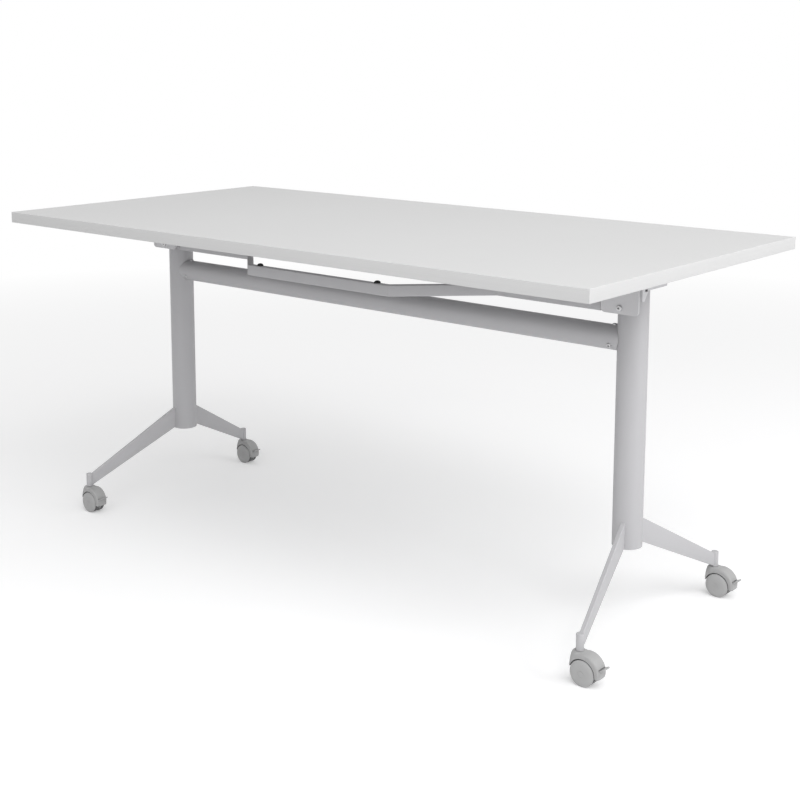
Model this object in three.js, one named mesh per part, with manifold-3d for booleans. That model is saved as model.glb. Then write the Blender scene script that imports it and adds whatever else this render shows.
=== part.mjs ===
// Flip top training table: a board on two columns that tilts upright for nesting.
// Millimetres. +Z is up, X runs along the table, -Y is the user's side.
// The origin lies on the floor under the middle of the top.
import * as THREE from 'three';
import { mergeVertices } from 'three/addons/utils/BufferGeometryUtils.js';
import Module from 'manifold-3d';

const wasm = await Module();
wasm.setup();

// Top
const TOP_LENGTH = 1600;
const TOP_DEPTH = 800;
const TOP_THICKNESS = 25;
const TABLE_HEIGHT = 755;
const EDGE_BAND = 2;

// Columns, beam and feet
const COLUMN_INSET = 146;
const COLUMN_RADIUS = 30;
const COLUMN_WALL = 2;
const COLUMN_BOTTOM = 170;
const PLUG_LENGTH = 14;
const PLUG_RECESS = 1;
const BEAM_RADIUS = 25;
const BEAM_WALL = 2;
const BEAM_DROP = 171.5;
const SPIGOT_LENGTH = 60;
const FOOT_REACH_X = 60;
const FOOT_REACH_Y = 264;
const FOOT_THICKNESS = 8;
const FOOT_ROOT_TOP = 224.5;
const FOOT_ROOT_BOTTOM = 173;
const FOOT_END_TOP = 88;
const FOOT_END_BOTTOM = 60.5;
const SOCKET_RADIUS = 7.5;
const SOCKET_TOP = 94;
const SOCKET_BOTTOM = 62;
const SOCKET_ROOF = 5;

// Tilt bracket, pivot and latch
const SHEET = 3;
const PIVOT_DROP = 25;
const PIVOT_SETBACK = 12;
const AXLE_RADIUS = 6;
const AXLE_HEAD_RADIUS = 8;
const AXLE_HEAD = 3;
const BARREL_RADIUS = 15;
const BRACKET_HALF_GAP = 42;
const BRACKET_FRONT = 54.5;
const BRACKET_REAR = 46;
const BRACKET_SIDE_DROP = 41;
const FRONT_FLAP_DROP = 87.5;
const FRONT_FLAP_HALF = 41;
const FRONT_FLAP_CORNER = 9;
const SIDE_FLAP_START = 48;
const OUTER_TAB_DROP = 60;
const OUTER_TAB_REAR = 25.5;
const INNER_TAB_REAR = 28;
const TAB_SLOPE = 14;
const SLOT_LENGTH = 10;
const SLOT_HEIGHT = 4.5;
const SLOT_SETBACK = 33;
const SLOT_DROP = 39.75;
const COLLAR_THICKNESS = 5;
const COLLAR_TO_PIVOT = 13;
const HEAD_SPIGOT = 40;
const NECK_HALF = 26;
const STOP_LUG_HALF = 10;
const STOP_LUG_HEIGHT = 7;
const QUADRANT_RADIUS = 26;
const QUADRANT_BACK_RADIUS = 19;
const QUADRANT_THICKNESS = 6;
const NOTCH_WIDTH = 9;
const NOTCH_DEPTH = 3;
const LEVEL_RIM_MARGIN = 18;
const UPRIGHT_RIM_MARGIN = 24;
const FLIP_ANGLE = 90;
const BOLT_RADIUS = 4;
const BOLT_HEAD_RADIUS = 6.25;
const BOLT_HEAD = 3.5;
const BOLT_SOCKET_RADIUS = 2.5;
const BOLT_SOCKET_DEPTH = 2.2;

// Release bar
const BAR_HEIGHT = 24;
const BAR_THICKNESS = 14;
const BAR_DROP = 76;
const BAR_SETBACK = 39;
const HANDLE_WIDTH = 402;
const HANDLE_REACH = 154;
const ARM_RUN = 160;
const BAR_END_GAP = 2;
const PIN_RADIUS = 5;
const PIN_INSIDE = 20;
const PIN_ROOT = 3;
const PAWL_THICKNESS = 5.5;
const PAWL_HUB_RADIUS = 7.5;
const PAWL_ARM = 7;
const PAWL_TOOTH = 7;
const PAWL_TOOTH_HEIGHT = 3;
const PAWL_TAIL = 7;
const PAWL_REST_GAP = 0.4;
const SPRING_WIRE = 1.6;
const SPRING_MEAN_RADIUS = 6.6;
const SPRING_PITCH = 2.2;
const SPRING_TURNS = 3.5;
const SPRING_STEPS = 12;
const BUMPER_RADIUS = 7;
const BUMPER_HEIGHT = 5.4;
const BUMPER_FLANGE = 1.5;
const BUMPER_OFFSET = 170;

// Casters
const WHEEL_RADIUS = 25;
const WHEEL_INNER = 3.4;
const WHEEL_RIM = 14;
const WHEEL_FACE = 17.5;
const WHEEL_BORE_DEPTH = 14;
const WHEEL_DOME = [11, 6, 3, 1];
const WHEEL_DOME_POWER = 6;
const CASTER_TRAIL = 13;
const HOOD_RADIUS = 31.7;
const HOOD_RISE = 5;
const HOOD_SETBACK = 3.2;
const HOOD_HALF_WIDTH = 14.6;
const HOOD_CROWN = [-1, -0.9, -0.6, 0.6, 0.9, 1];
const HOOD_CROWN_POWER = 6;
const HOOD_CROWN_FALL = 1.8;
const HOOD_CAVITY_RADIUS = 27.2;
const HOOD_WEB_HALF = 3;
const SKIRT_DROP = 3.3;
const SKIRT_TILT = 10;
const NOSE_RADIUS = 18.5;
const NOSE_TOP_RADIUS = 11.5;
const HUB_RADIUS = 9;
const STEM_RADIUS = 5;
const STEM_LENGTH = 25;
const CASTER_AXLE_RADIUS = 3;
const PEDAL_PLACE = 9.5;
const PEDAL_SLOPE = 30;
const PEDAL_PIVOT_RADIUS = 26.5;
const PEDAL_HALF_WIDTH = 10.5;
const PEDAL_REACH = 16.2;
const PEDAL_THICKNESS = 3;
const PEDAL_HUB = 2.6;
const SHOE_OUTER = 32;
const SHOE_INNER = 29;
const SHOE_ANGLES = [-17, 9];
const WINDOW_FLOOR = 21.3;
const WINDOW_ANGLES = [-40, 18.5];

// Sides of round pieces
const WIDE_SIDES = 36;
const MIDDLE_SIDES = 24;
const SMALL_SIDES = 16;
const WHEEL_SIDES = 28;
const HOOD_SIDES = 48;
const HEXAGON = 6;
const CORNER_STEPS = 6;

// Clearances and the overlap of pieces that are joined or cut
const FIT = 0.3;
const RUN = 0.5;
const OVERLAP = 1;
const CUT = 20;

// Places worked out from the sizes
const UNDERSIDE = TABLE_HEIGHT - TOP_THICKNESS;
const COLUMN_X = TOP_LENGTH / 2 - COLUMN_INSET;
const PIVOT_Z = UNDERSIDE - PIVOT_DROP;
const COLLAR_TOP = PIVOT_Z - COLLAR_TO_PIVOT;
const COLUMN_TOP = COLLAR_TOP - COLLAR_THICKNESS;
const COLUMN_BORE = COLUMN_RADIUS - COLUMN_WALL;
const BEAM_Z = TABLE_HEIGHT - BEAM_DROP;
const BAR_Z = UNDERSIDE - BAR_DROP;
const FOOT_LENGTH = Math.hypot(FOOT_REACH_X, FOOT_REACH_Y);
const WALL_OUT = BRACKET_HALF_GAP + SHEET;
const PIN_Y = BAR_SETBACK + PIVOT_SETBACK;
const PIN_DROP = PIVOT_Z - BAR_Z;
const PIN_DISTANCE = Math.hypot(PIN_Y, PIN_DROP);
const PIN_ANGLE = Math.PI + Math.atan2(PIN_DROP, PIN_Y);
const LATCH_ANGLE = PIN_ANGLE + Math.acos(QUADRANT_RADIUS / PIN_DISTANCE);
const LATCH_REACH = Math.sqrt(PIN_DISTANCE ** 2 - QUADRANT_RADIUS ** 2);
const QUADRANT_INSIDE = COLUMN_RADIUS + RUN;
const QUADRANT_OUTSIDE = QUADRANT_INSIDE + QUADRANT_THICKNESS;

const rad = THREE.MathUtils.degToRad;
const table = new THREE.Group();

// Finishes
const silver = { color: 0xb9babc, roughness: 0.5, metalness: 0.2 };
const laminate = { color: 0xd6d7d8, roughness: 0.55, metalness: 0 };
const band = { color: 0xcfd0d1, roughness: 0.5, metalness: 0 };
const steel = { color: 0xa4a6a9, roughness: 0.35, metalness: 0.9 };
const casterGrey = { color: 0xb0b1b2, roughness: 0.55, metalness: 0 };
const treadGrey = { color: 0xa6a7a8, roughness: 0.6, metalness: 0 };
const blackRubber = { color: 0x1c1c1d, roughness: 0.8, metalness: 0 };
const darkPlastic = { color: 0x3a3b3d, roughness: 0.6, metalness: 0 };

// Adds a named sub-part with its own material to a group.
function addPart(group, name, geometry, finish) {
  const mesh = new THREE.Mesh(geometry, new THREE.MeshStandardMaterial(finish));
  mesh.name = name;
  group.add(mesh);
}

// A group at a place, turned about Z.
function placed(x, y, angle = 0) {
  const group = new THREE.Group();
  group.position.set(x, y, 0);
  group.rotation.z = angle;
  table.add(group);
  return group;
}

// Turns a closed three.js geometry into a solid for joining and cutting.
function solid(geometry) {
  const bare = geometry.clone();
  bare.deleteAttribute('normal');
  bare.deleteAttribute('uv');
  const merged = mergeVertices(bare, 1e-4);
  return new wasm.Manifold(new wasm.Mesh({
    numProp: 3,
    vertProperties: new Float32Array(merged.attributes.position.array),
    triVerts: new Uint32Array(merged.index.array),
  }));
}

// Turns a solid back into a geometry.
function surface(body) {
  const mesh = body.getMesh();
  const geometry = new THREE.BufferGeometry();
  geometry.setAttribute('position', new THREE.BufferAttribute(new Float32Array(mesh.vertProperties), 3));
  geometry.setIndex(new THREE.BufferAttribute(new Uint32Array(mesh.triVerts), 1));
  geometry.computeVertexNormals();
  return geometry;
}

// A box between two corners, given in any order.
function box(xs, ys, zs) {
  const sizes = [xs, ys, zs].map(([low, high]) => Math.abs(high - low));
  const centre = [xs, ys, zs].map(([low, high]) => (low + high) / 2);
  return new THREE.BoxGeometry(...sizes).translate(...centre);
}

// A cylinder from one end to the other along an axis, through a centre on the other two axes.
function rod(axis, radius, from, to, centre = [0, 0], sides = MIDDLE_SIDES) {
  const geometry = new THREE.CylinderGeometry(radius, radius, Math.abs(to - from), sides);
  const middle = (from + to) / 2;
  if (axis === 'x') {
    return geometry.rotateZ(-Math.PI / 2).translate(middle, centre[0], centre[1]);
  }
  if (axis === 'y') {
    return geometry.translate(centre[0], middle, centre[1]);
  }
  return geometry.rotateX(Math.PI / 2).translate(centre[0], centre[1], middle);
}

// A tube along Z as a lathe whose profile closes on itself.
function tube(outer, inner, from, to, sides = WIDE_SIDES) {
  const corners = [[outer, from], [outer, to], [inner, to], [inner, from], [outer, from]];
  const profile = corners.map(([r, z]) => new THREE.Vector2(r, z));
  return new THREE.LatheGeometry(profile, sides).rotateX(Math.PI / 2);
}

// Points on a circle between two angles in radians.
function arc(centre, radius, from, to, steps) {
  return Array.from({ length: steps + 1 }, (_, i) => {
    const angle = from + (to - from) * i / steps;
    return [centre[0] + radius * Math.cos(angle), centre[1] + radius * Math.sin(angle)];
  });
}

const PLANES = {
  xy: [[1, 0, 0], [0, 1, 0], [0, 0, 1]],
  xz: [[1, 0, 0], [0, 0, 1], [0, -1, 0]],
  yz: [[0, 1, 0], [0, 0, 1], [1, 0, 0]],
};

// An outline in a plane, extruded between two places along the plane's normal.
function plate(plane, outline, from, to) {
  const shape = new THREE.Shape(outline.map(([u, v]) => new THREE.Vector2(u, v)));
  const depth = Math.abs(to - from);
  const geometry = new THREE.ExtrudeGeometry(shape, { depth, bevelEnabled: false });
  const [u, v, w] = PLANES[plane].map((axis) => new THREE.Vector3(...axis));
  const start = plane === 'xz' ? Math.max(from, to) : Math.min(from, to);
  const normal = plane === 'xz' ? [0, 1, 0] : PLANES[plane][2];
  geometry.applyMatrix4(new THREE.Matrix4().makeBasis(u, v, w));
  return geometry.translate(...normal.map((n) => n * start));
}

// Joins solids into one.
function join(first, ...others) {
  return others.reduce((sum, geometry) => sum.add(solid(geometry)), solid(first));
}

// Cuts geometries out of a solid.
function cut(body, ...tools) {
  return tools.reduce((rest, geometry) => rest.subtract(solid(geometry)), body);
}

// Tabletop: the board and the four strips glued round it, flush with both faces.
function makeTop() {
  const halfLength = TOP_LENGTH / 2;
  const halfDepth = TOP_DEPTH / 2;
  const inLength = halfLength - EDGE_BAND;
  const inDepth = halfDepth - EDGE_BAND;
  const zs = [UNDERSIDE, TABLE_HEIGHT];
  addPart(table, 'tabletop_board', box([-inLength, inLength], [-inDepth, inDepth], zs), laminate);
  for (const [name, side] of [['front', -1], ['rear', 1]]) {
    const strip = box([-halfLength, halfLength], [side * inDepth, side * halfDepth], zs);
    addPart(table, `edge_band_${name}`, strip, band);
  }
  for (const [name, side] of [['left', -1], ['right', 1]]) {
    const strip = box([side * inLength, side * halfLength], [-inDepth, inDepth], zs);
    addPart(table, `edge_band_${name}`, strip, band);
  }
}

// Side flap outline in Y and Z: a shallow cheek with a deeper tab at its front end.
function sideFlap(tabFront, tabRear, tabDrop) {
  const cheek = UNDERSIDE - BRACKET_SIDE_DROP;
  const tab = UNDERSIDE - tabDrop;
  return [
    [BRACKET_REAR, UNDERSIDE], [-tabFront, UNDERSIDE], [-tabFront, tab],
    [-tabRear - TAB_SLOPE, tab], [-tabRear, cheek], [BRACKET_REAR, cheek],
  ];
}

// Tilt bracket: one bent sheet with a top plate, a front flap and two side flaps.
function makeBracket(group, name, side) {
  const flapBottom = UNDERSIDE - FRONT_FLAP_DROP;
  const cornerX = FRONT_FLAP_HALF - FRONT_FLAP_CORNER;
  const cornerZ = flapBottom + FRONT_FLAP_CORNER;
  const frontOutline = [
    [FRONT_FLAP_HALF, UNDERSIDE], [-FRONT_FLAP_HALF, UNDERSIDE],
    ...arc([-cornerX, cornerZ], FRONT_FLAP_CORNER, Math.PI, 1.5 * Math.PI, CORNER_STEPS),
    ...arc([cornerX, cornerZ], FRONT_FLAP_CORNER, 1.5 * Math.PI, 2 * Math.PI, CORNER_STEPS),
  ];
  const innerTabDrop = BAR_DROP + PIN_RADIUS + SHEET + FIT;
  const outer = sideFlap(SIDE_FLAP_START, OUTER_TAB_REAR, OUTER_TAB_DROP);
  const inner = sideFlap(SIDE_FLAP_START, INNER_TAB_REAR - TAB_SLOPE, innerTabDrop);
  const walls = join(
    box([-WALL_OUT, WALL_OUT], [-BRACKET_FRONT, BRACKET_REAR], [UNDERSIDE - SHEET, UNDERSIDE]),
    plate('xz', frontOutline, -BRACKET_FRONT, -BRACKET_FRONT + SHEET),
    plate('yz', outer, side * BRACKET_HALF_GAP, side * WALL_OUT),
    plate('yz', inner, -side * BRACKET_HALF_GAP, -side * WALL_OUT),
  );
  const slotZ = UNDERSIDE - SLOT_DROP;
  const slotYs = [-SLOT_SETBACK - SLOT_LENGTH / 2, -SLOT_SETBACK + SLOT_LENGTH / 2];
  const outerXs = [side * (BRACKET_HALF_GAP - SHEET), side * (WALL_OUT + SHEET)];
  const innerXs = outerXs.map((x) => -x);
  const drilled = cut(
    walls,
    rod('x', AXLE_RADIUS + FIT, -WALL_OUT - SHEET, WALL_OUT + SHEET, [PIVOT_SETBACK, PIVOT_Z]),
    rod('x', PIN_RADIUS + FIT, ...innerXs, [-BAR_SETBACK, BAR_Z]),
    rod('y', BOLT_RADIUS + FIT, -BRACKET_FRONT - OVERLAP, -BRACKET_FRONT + SHEET + OVERLAP, [0, BAR_Z]),
    box(outerXs, slotYs, [slotZ - SLOT_HEIGHT / 2, slotZ + SLOT_HEIGHT / 2]),
  );
  addPart(group, `tilt_bracket_${name}`, surface(drilled), silver);
}

// Stop bolt: a socket head bolt through the front flap whose tip meets the column and keeps the top level.
function makeStopBolt(group, name) {
  const headBack = -BRACKET_FRONT;
  const headFront = headBack - BOLT_HEAD;
  const bolt = cut(
    join(
      rod('y', BOLT_HEAD_RADIUS, headFront, headBack, [0, BAR_Z], SMALL_SIDES),
      rod('y', BOLT_RADIUS, headFront + BOLT_SOCKET_DEPTH, -COLUMN_RADIUS - FIT, [0, BAR_Z], SMALL_SIDES),
    ),
    rod('y', BOLT_SOCKET_RADIUS, headFront - OVERLAP, headFront + BOLT_SOCKET_DEPTH, [0, BAR_Z], HEXAGON),
  );
  addPart(group, `stop_bolt_${name}`, surface(bolt), steel);
}

// Pivot axle: a headed pin through both side flaps and the column head.
function makeAxle(group, name, side) {
  const centre = [PIVOT_SETBACK, PIVOT_Z];
  const headEnd = side * (WALL_OUT + AXLE_HEAD);
  const axle = join(
    rod('x', AXLE_RADIUS, -side * (WALL_OUT + AXLE_HEAD), side * (WALL_OUT + AXLE_HEAD / 2), centre),
    rod('x', AXLE_HEAD_RADIUS, side * WALL_OUT, headEnd, centre),
  );
  addPart(group, `pivot_axle_${name}`, surface(axle), steel);
}

// Column: an open tube with a plug in its foot.
function makeColumn(group, name) {
  addPart(group, `column_${name}`, tube(COLUMN_RADIUS, COLUMN_BORE, COLUMN_BOTTOM, COLUMN_TOP), silver);
  const plugFoot = COLUMN_BOTTOM + PLUG_RECESS;
  const plug = rod('z', COLUMN_BORE - FIT, plugFoot, plugFoot + PLUG_LENGTH, [0, 0], WIDE_SIDES);
  addPart(group, `column_plug_${name}`, plug, darkPlastic);
}

// Column head: a spigot and collar on the column, with a barrel for the pivot axle.
// A lug at the back stops the bracket's top plate when the board stands upright.
function makeHead(group, name, side) {
  const barrelEnds = [-side * QUADRANT_INSIDE, side * (BRACKET_HALF_GAP - RUN)];
  const lugBack = PIVOT_SETBACK + PIVOT_DROP - SHEET - FIT;
  const neckYs = [PIVOT_SETBACK - BARREL_RADIUS, PIVOT_SETBACK + BARREL_RADIUS];
  const head = cut(
    join(
      rod('z', COLUMN_BORE - FIT, COLUMN_TOP - HEAD_SPIGOT, COLLAR_TOP, [0, 0], WIDE_SIDES),
      rod('z', COLUMN_RADIUS, COLUMN_TOP, COLLAR_TOP, [0, 0], WIDE_SIDES),
      rod('x', BARREL_RADIUS, ...barrelEnds, [PIVOT_SETBACK, PIVOT_Z]),
      box([-NECK_HALF, NECK_HALF], neckYs, [COLUMN_TOP, PIVOT_Z]),
      box([-STOP_LUG_HALF, STOP_LUG_HALF], [PIVOT_SETBACK, lugBack],
        [COLUMN_TOP, COLUMN_TOP + STOP_LUG_HEIGHT]),
    ),
    rod('x', AXLE_RADIUS + FIT, -WALL_OUT, WALL_OUT, [PIVOT_SETBACK, PIVOT_Z]),
  );
  addPart(group, `column_head_${name}`, surface(head), silver);
}

// A box for a latch notch, centred on the quadrant's rim at an angle about the pivot.
function notch(angle, xs) {
  const tool = box(xs, [QUADRANT_RADIUS - NOTCH_DEPTH, QUADRANT_RADIUS + NOTCH_DEPTH],
    [-NOTCH_WIDTH / 2, NOTCH_WIDTH / 2]);
  return tool.rotateX(angle).translate(0, PIVOT_SETBACK, PIVOT_Z);
}

// Latch quadrant: a plate on the head with a notch for the level top and one for the upright top.
function makeQuadrant(group, name, side) {
  const xs = [-side * QUADRANT_INSIDE, -side * QUADRANT_OUTSIDE];
  const centre = [PIVOT_SETBACK, PIVOT_Z];
  const rimEnd = LATCH_ANGLE + rad(LEVEL_RIM_MARGIN);
  const rimStart = LATCH_ANGLE - rad(FLIP_ANGLE + UPRIGHT_RIM_MARGIN);
  const outline = [
    ...arc(centre, QUADRANT_RADIUS, rimStart, rimEnd, SMALL_SIDES),
    ...arc(centre, QUADRANT_BACK_RADIUS, rimEnd, rimStart + 2 * Math.PI, SMALL_SIDES),
  ];
  const spacerEnd = -side * (BRACKET_HALF_GAP - RUN);
  const notchXs = [-side * (QUADRANT_INSIDE - OVERLAP), -side * (QUADRANT_OUTSIDE + OVERLAP)];
  const quadrant = cut(
    join(
      plate('yz', outline, ...xs),
      rod('x', AXLE_RADIUS + SHEET, -side * (QUADRANT_INSIDE + OVERLAP), spacerEnd, centre, SMALL_SIDES),
    ),
    rod('x', AXLE_RADIUS + FIT, -WALL_OUT, WALL_OUT, centre),
    notch(LATCH_ANGLE, notchXs),
    notch(LATCH_ANGLE - rad(FLIP_ANGLE), notchXs),
  );
  addPart(group, `latch_quadrant_${name}`, surface(quadrant), steel);
}

// Latch pawl: an arm on the release bar's pin that reaches along the tangent to the quadrant's rim
// and lifts a tooth into its notches.
function makePawl(group, name, side) {
  const inner = -side * (QUADRANT_INSIDE + RUN);
  const outer = inner - side * PAWL_THICKNESS;
  const armTop = -PAWL_REST_GAP - PAWL_TOOTH_HEIGHT;
  const toothTop = -PAWL_REST_GAP;
  const toothStart = LATCH_REACH - PAWL_TOOTH / 2;
  const toothEnd = LATCH_REACH + PAWL_TOOTH / 2;
  const outline = [
    [0, armTop - PAWL_ARM], [LATCH_REACH + PAWL_TAIL, armTop - PAWL_ARM], [LATCH_REACH + PAWL_TAIL, armTop],
    [toothEnd, armTop], [toothEnd, toothTop], [toothStart, toothTop], [toothStart, armTop], [0, armTop],
  ];
  const tangent = LATCH_ANGLE + Math.PI / 2;
  const arm = plate('yz', outline, inner, outer).rotateX(tangent).translate(0, -BAR_SETBACK, BAR_Z);
  const pawl = cut(
    join(arm, rod('x', PAWL_HUB_RADIUS, inner, outer, [-BAR_SETBACK, BAR_Z])),
    rod('x', PIN_RADIUS + FIT, inner + side * OVERLAP, outer - side * OVERLAP, [-BAR_SETBACK, BAR_Z]),
  );
  addPart(group, `latch_pawl_${name}`, surface(pawl), steel);
}

// A helix along X about the release pin.
class SpringCurve extends THREE.Curve {
  constructor(startX, direction) {
    super();
    this.startX = startX;
    this.direction = direction;
  }

  getPoint(t, target = new THREE.Vector3()) {
    const angle = 2 * Math.PI * SPRING_TURNS * t;
    return target.set(
      this.startX + this.direction * SPRING_PITCH * SPRING_TURNS * t,
      -BAR_SETBACK + SPRING_MEAN_RADIUS * Math.cos(angle),
      BAR_Z + SPRING_MEAN_RADIUS * Math.sin(angle),
    );
  }
}

// Return spring: a wound wire round the pin, beside the pawl.
function makeSpring(group, name, side) {
  const start = -side * (QUADRANT_INSIDE - SPRING_WIRE / 2 - RUN);
  const section = new THREE.Shape(arc([0, 0], SPRING_WIRE / 2, 0, 2 * Math.PI, HEXAGON).slice(1)
    .map(([u, v]) => new THREE.Vector2(u, v)));
  const spring = new THREE.ExtrudeGeometry(section, {
    steps: SPRING_STEPS * SPRING_TURNS,
    extrudePath: new SpringCurve(start, side),
  });
  addPart(group, `return_spring_${name}`, spring, steel);
}

// A strip of even thickness along a path in X and Y, mitred at its corners.
function strip(path, thickness) {
  const points = path.map(([x, y]) => new THREE.Vector2(x, y));
  const runs = points.slice(1).map((point, i) => point.clone().sub(points[i]).normalize());
  const offset = (side) => points.map((point, i) => {
    const before = runs[Math.max(i - 1, 0)];
    const after = runs[Math.min(i, runs.length - 1)];
    const run = before.clone().add(after).normalize();
    const reach = side * thickness / 2 / run.dot(before);
    return [point.x - run.y * reach, point.y + run.x * reach];
  });
  return [...offset(-1), ...offset(1).reverse()];
}

// Release bar: a rectangular bar mitred to a handle, with a round pin at each end.
function makeReleaseBar() {
  const handleY = -BAR_SETBACK - HANDLE_REACH;
  const handleX = HANDLE_WIDTH / 2;
  const armX = handleX + ARM_RUN;
  const endX = COLUMN_X - WALL_OUT - BAR_END_GAP;
  const path = [
    [-endX, -BAR_SETBACK], [-armX, -BAR_SETBACK], [-handleX, handleY],
    [handleX, handleY], [armX, -BAR_SETBACK], [endX, -BAR_SETBACK],
  ];
  const barBottom = BAR_Z - BAR_HEIGHT / 2;
  const barTop = BAR_Z + BAR_HEIGHT / 2;
  const pins = [-1, 1].map((side) => rod('x', PIN_RADIUS, side * (endX - PIN_ROOT),
    side * (COLUMN_X - PIN_INSIDE), [-BAR_SETBACK, BAR_Z]));
  const bar = join(plate('xy', strip(path, BAR_THICKNESS), barBottom, barTop), ...pins);
  addPart(table, 'release_bar', surface(bar), silver);

  for (const [name, side] of [['left', -1], ['right', 1]]) {
    const profile = [
      new THREE.Vector2(0, 0),
      new THREE.Vector2(BUMPER_RADIUS, 0),
      ...arc([0, 0], 1, 0, Math.PI / 2, CORNER_STEPS).slice(0, -1).map(([along, up]) => new THREE.Vector2(
        BUMPER_RADIUS * along, BUMPER_FLANGE + (BUMPER_HEIGHT - BUMPER_FLANGE) * up,
      )),
      new THREE.Vector2(0, BUMPER_HEIGHT),
    ];
    const dome = new THREE.LatheGeometry(profile, SMALL_SIDES).rotateX(Math.PI / 2);
    dome.translate(side * BUMPER_OFFSET, handleY, barTop);
    addPart(table, `release_bumper_${name}`, dome, blackRubber);
  }
}

// Beam: a tube between the columns, saddled to them, over a spigot on each column.
function makeBeam() {
  const centre = [0, BEAM_Z];
  const columns = [-1, 1].map((side) => rod('z', COLUMN_RADIUS + FIT, BEAM_Z - 2 * BEAM_RADIUS,
    BEAM_Z + 2 * BEAM_RADIUS, [side * COLUMN_X, 0], WIDE_SIDES));
  const beam = cut(
    solid(rod('x', BEAM_RADIUS, -COLUMN_X, COLUMN_X, centre, WIDE_SIDES)),
    rod('x', BEAM_RADIUS - BEAM_WALL, -COLUMN_X - CUT, COLUMN_X + CUT, centre, WIDE_SIDES),
    ...columns,
  );
  addPart(table, 'beam', surface(beam), silver);
  for (const [name, side] of [['left', -1], ['right', 1]]) {
    const tip = COLUMN_X - COLUMN_RADIUS - SPIGOT_LENGTH;
    const spigot = cut(
      solid(rod('x', BEAM_RADIUS - BEAM_WALL - FIT, side * tip, side * COLUMN_X, centre, WIDE_SIDES)),
      ...columns,
    );
    addPart(table, `beam_spigot_${name}`, surface(spigot), steel);
  }
}

// Foot: a tapered blade from the column to the caster socket, along its group's X.
// Its root heights hold at the column's wall, so the taper runs on to the column's axis.
function footBlade() {
  const atAxis = (root, end) => root + (root - end) * COLUMN_RADIUS / (FOOT_LENGTH - COLUMN_RADIUS);
  const outline = [
    [0, atAxis(FOOT_ROOT_TOP, FOOT_END_TOP)], [0, atAxis(FOOT_ROOT_BOTTOM, FOOT_END_BOTTOM)],
    [FOOT_LENGTH, FOOT_END_BOTTOM], [FOOT_LENGTH, FOOT_END_TOP],
  ];
  return surface(cut(
    solid(plate('xz', outline, -FOOT_THICKNESS / 2, FOOT_THICKNESS / 2)),
    rod('z', COLUMN_RADIUS + FIT, 0, COLUMN_TOP, [0, 0], WIDE_SIDES),
    rod('z', SOCKET_RADIUS + FIT, 0, COLUMN_TOP, [FOOT_LENGTH, 0], SMALL_SIDES),
  ));
}

// Caster socket: a short tube, closed on top, for the caster's stem.
function casterSocket() {
  return surface(cut(
    solid(rod('z', SOCKET_RADIUS, SOCKET_BOTTOM, SOCKET_TOP, [0, 0], SMALL_SIDES)),
    rod('z', STEM_RADIUS + FIT, SOCKET_BOTTOM - OVERLAP, SOCKET_TOP - SOCKET_ROOF, [0, 0], SMALL_SIDES),
  ));
}

const hoodCentre = [CASTER_TRAIL + HOOD_SETBACK, WHEEL_RADIUS + HOOD_RISE];
const wheelCentre = [CASTER_TRAIL, WHEEL_RADIUS];
const pedalPivot = [
  hoodCentre[0] + PEDAL_PIVOT_RADIUS * Math.cos(rad(PEDAL_PLACE)),
  hoodCentre[1] + PEDAL_PIVOT_RADIUS * Math.sin(rad(PEDAL_PLACE)),
];

// A lathe about Y from rows of radius and height.
function turned(rows, sides) {
  return new THREE.LatheGeometry(rows.map(([r, y]) => new THREE.Vector2(r, y)), sides);
}

// The hood's crowned drum over the wheels: its radius falls away towards both rims.
function hoodDrum() {
  const rows = HOOD_CROWN.map((share) => [
    HOOD_RADIUS - HOOD_CROWN_FALL * Math.abs(share) ** HOOD_CROWN_POWER, share * HOOD_HALF_WIDTH,
  ]);
  const drum = turned([[0, -HOOD_HALF_WIDTH], ...rows, [0, HOOD_HALF_WIDTH]], HOOD_SIDES);
  return drum.translate(hoodCentre[0], 0, hoodCentre[1]);
}

// The hood's nose: a dome round the stem whose outline is a quarter ellipse.
function hoodNose(top) {
  const rows = arc([0, 0], 1, 0, Math.PI / 2, CORNER_STEPS).map(([along, up]) => [
    NOSE_TOP_RADIUS + (NOSE_RADIUS - NOSE_TOP_RADIUS) * along,
    hoodCentre[1] + (top - hoodCentre[1]) * up,
  ]);
  return turned([[0, hoodCentre[1]], ...rows, [0, top]], MIDDLE_SIDES).rotateX(Math.PI / 2);
}

// A sector between two angles and two radii about the hood's centre, across the hood.
function hoodSector(inner, outer, angles, half) {
  const [from, to] = angles.map(rad);
  return plate('xz', [
    ...arc(hoodCentre, outer, from, to, CORNER_STEPS), ...arc(hoodCentre, inner, to, from, CORNER_STEPS),
  ], -half, half);
}

// The hood's outside: the drum with its front end rounded to the nose, cut level along the skirt.
function hoodBlock(top) {
  const wide = HOOD_HALF_WIDTH + OVERLAP;
  const reach = 2 * HOOD_RADIUS;
  const plan = join(
    rod('z', NOSE_RADIUS, 0, top + OVERLAP, [0, 0], HOOD_SIDES),
    box([0, reach], [-wide, wide], [0, top + OVERLAP]),
  );
  const sides = box([-reach, reach], [-HOOD_HALF_WIDTH, HOOD_HALF_WIDTH], [0, top]);
  const skirt = box([-reach, reach], [-wide, wide], [-reach, -SKIRT_DROP]);
  skirt.rotateY(rad(SKIRT_TILT)).translate(hoodCentre[0], 0, hoodCentre[1]);
  return cut(join(hoodDrum(), hoodNose(top)).intersect(plan).intersect(solid(sides)), skirt);
}

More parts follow.
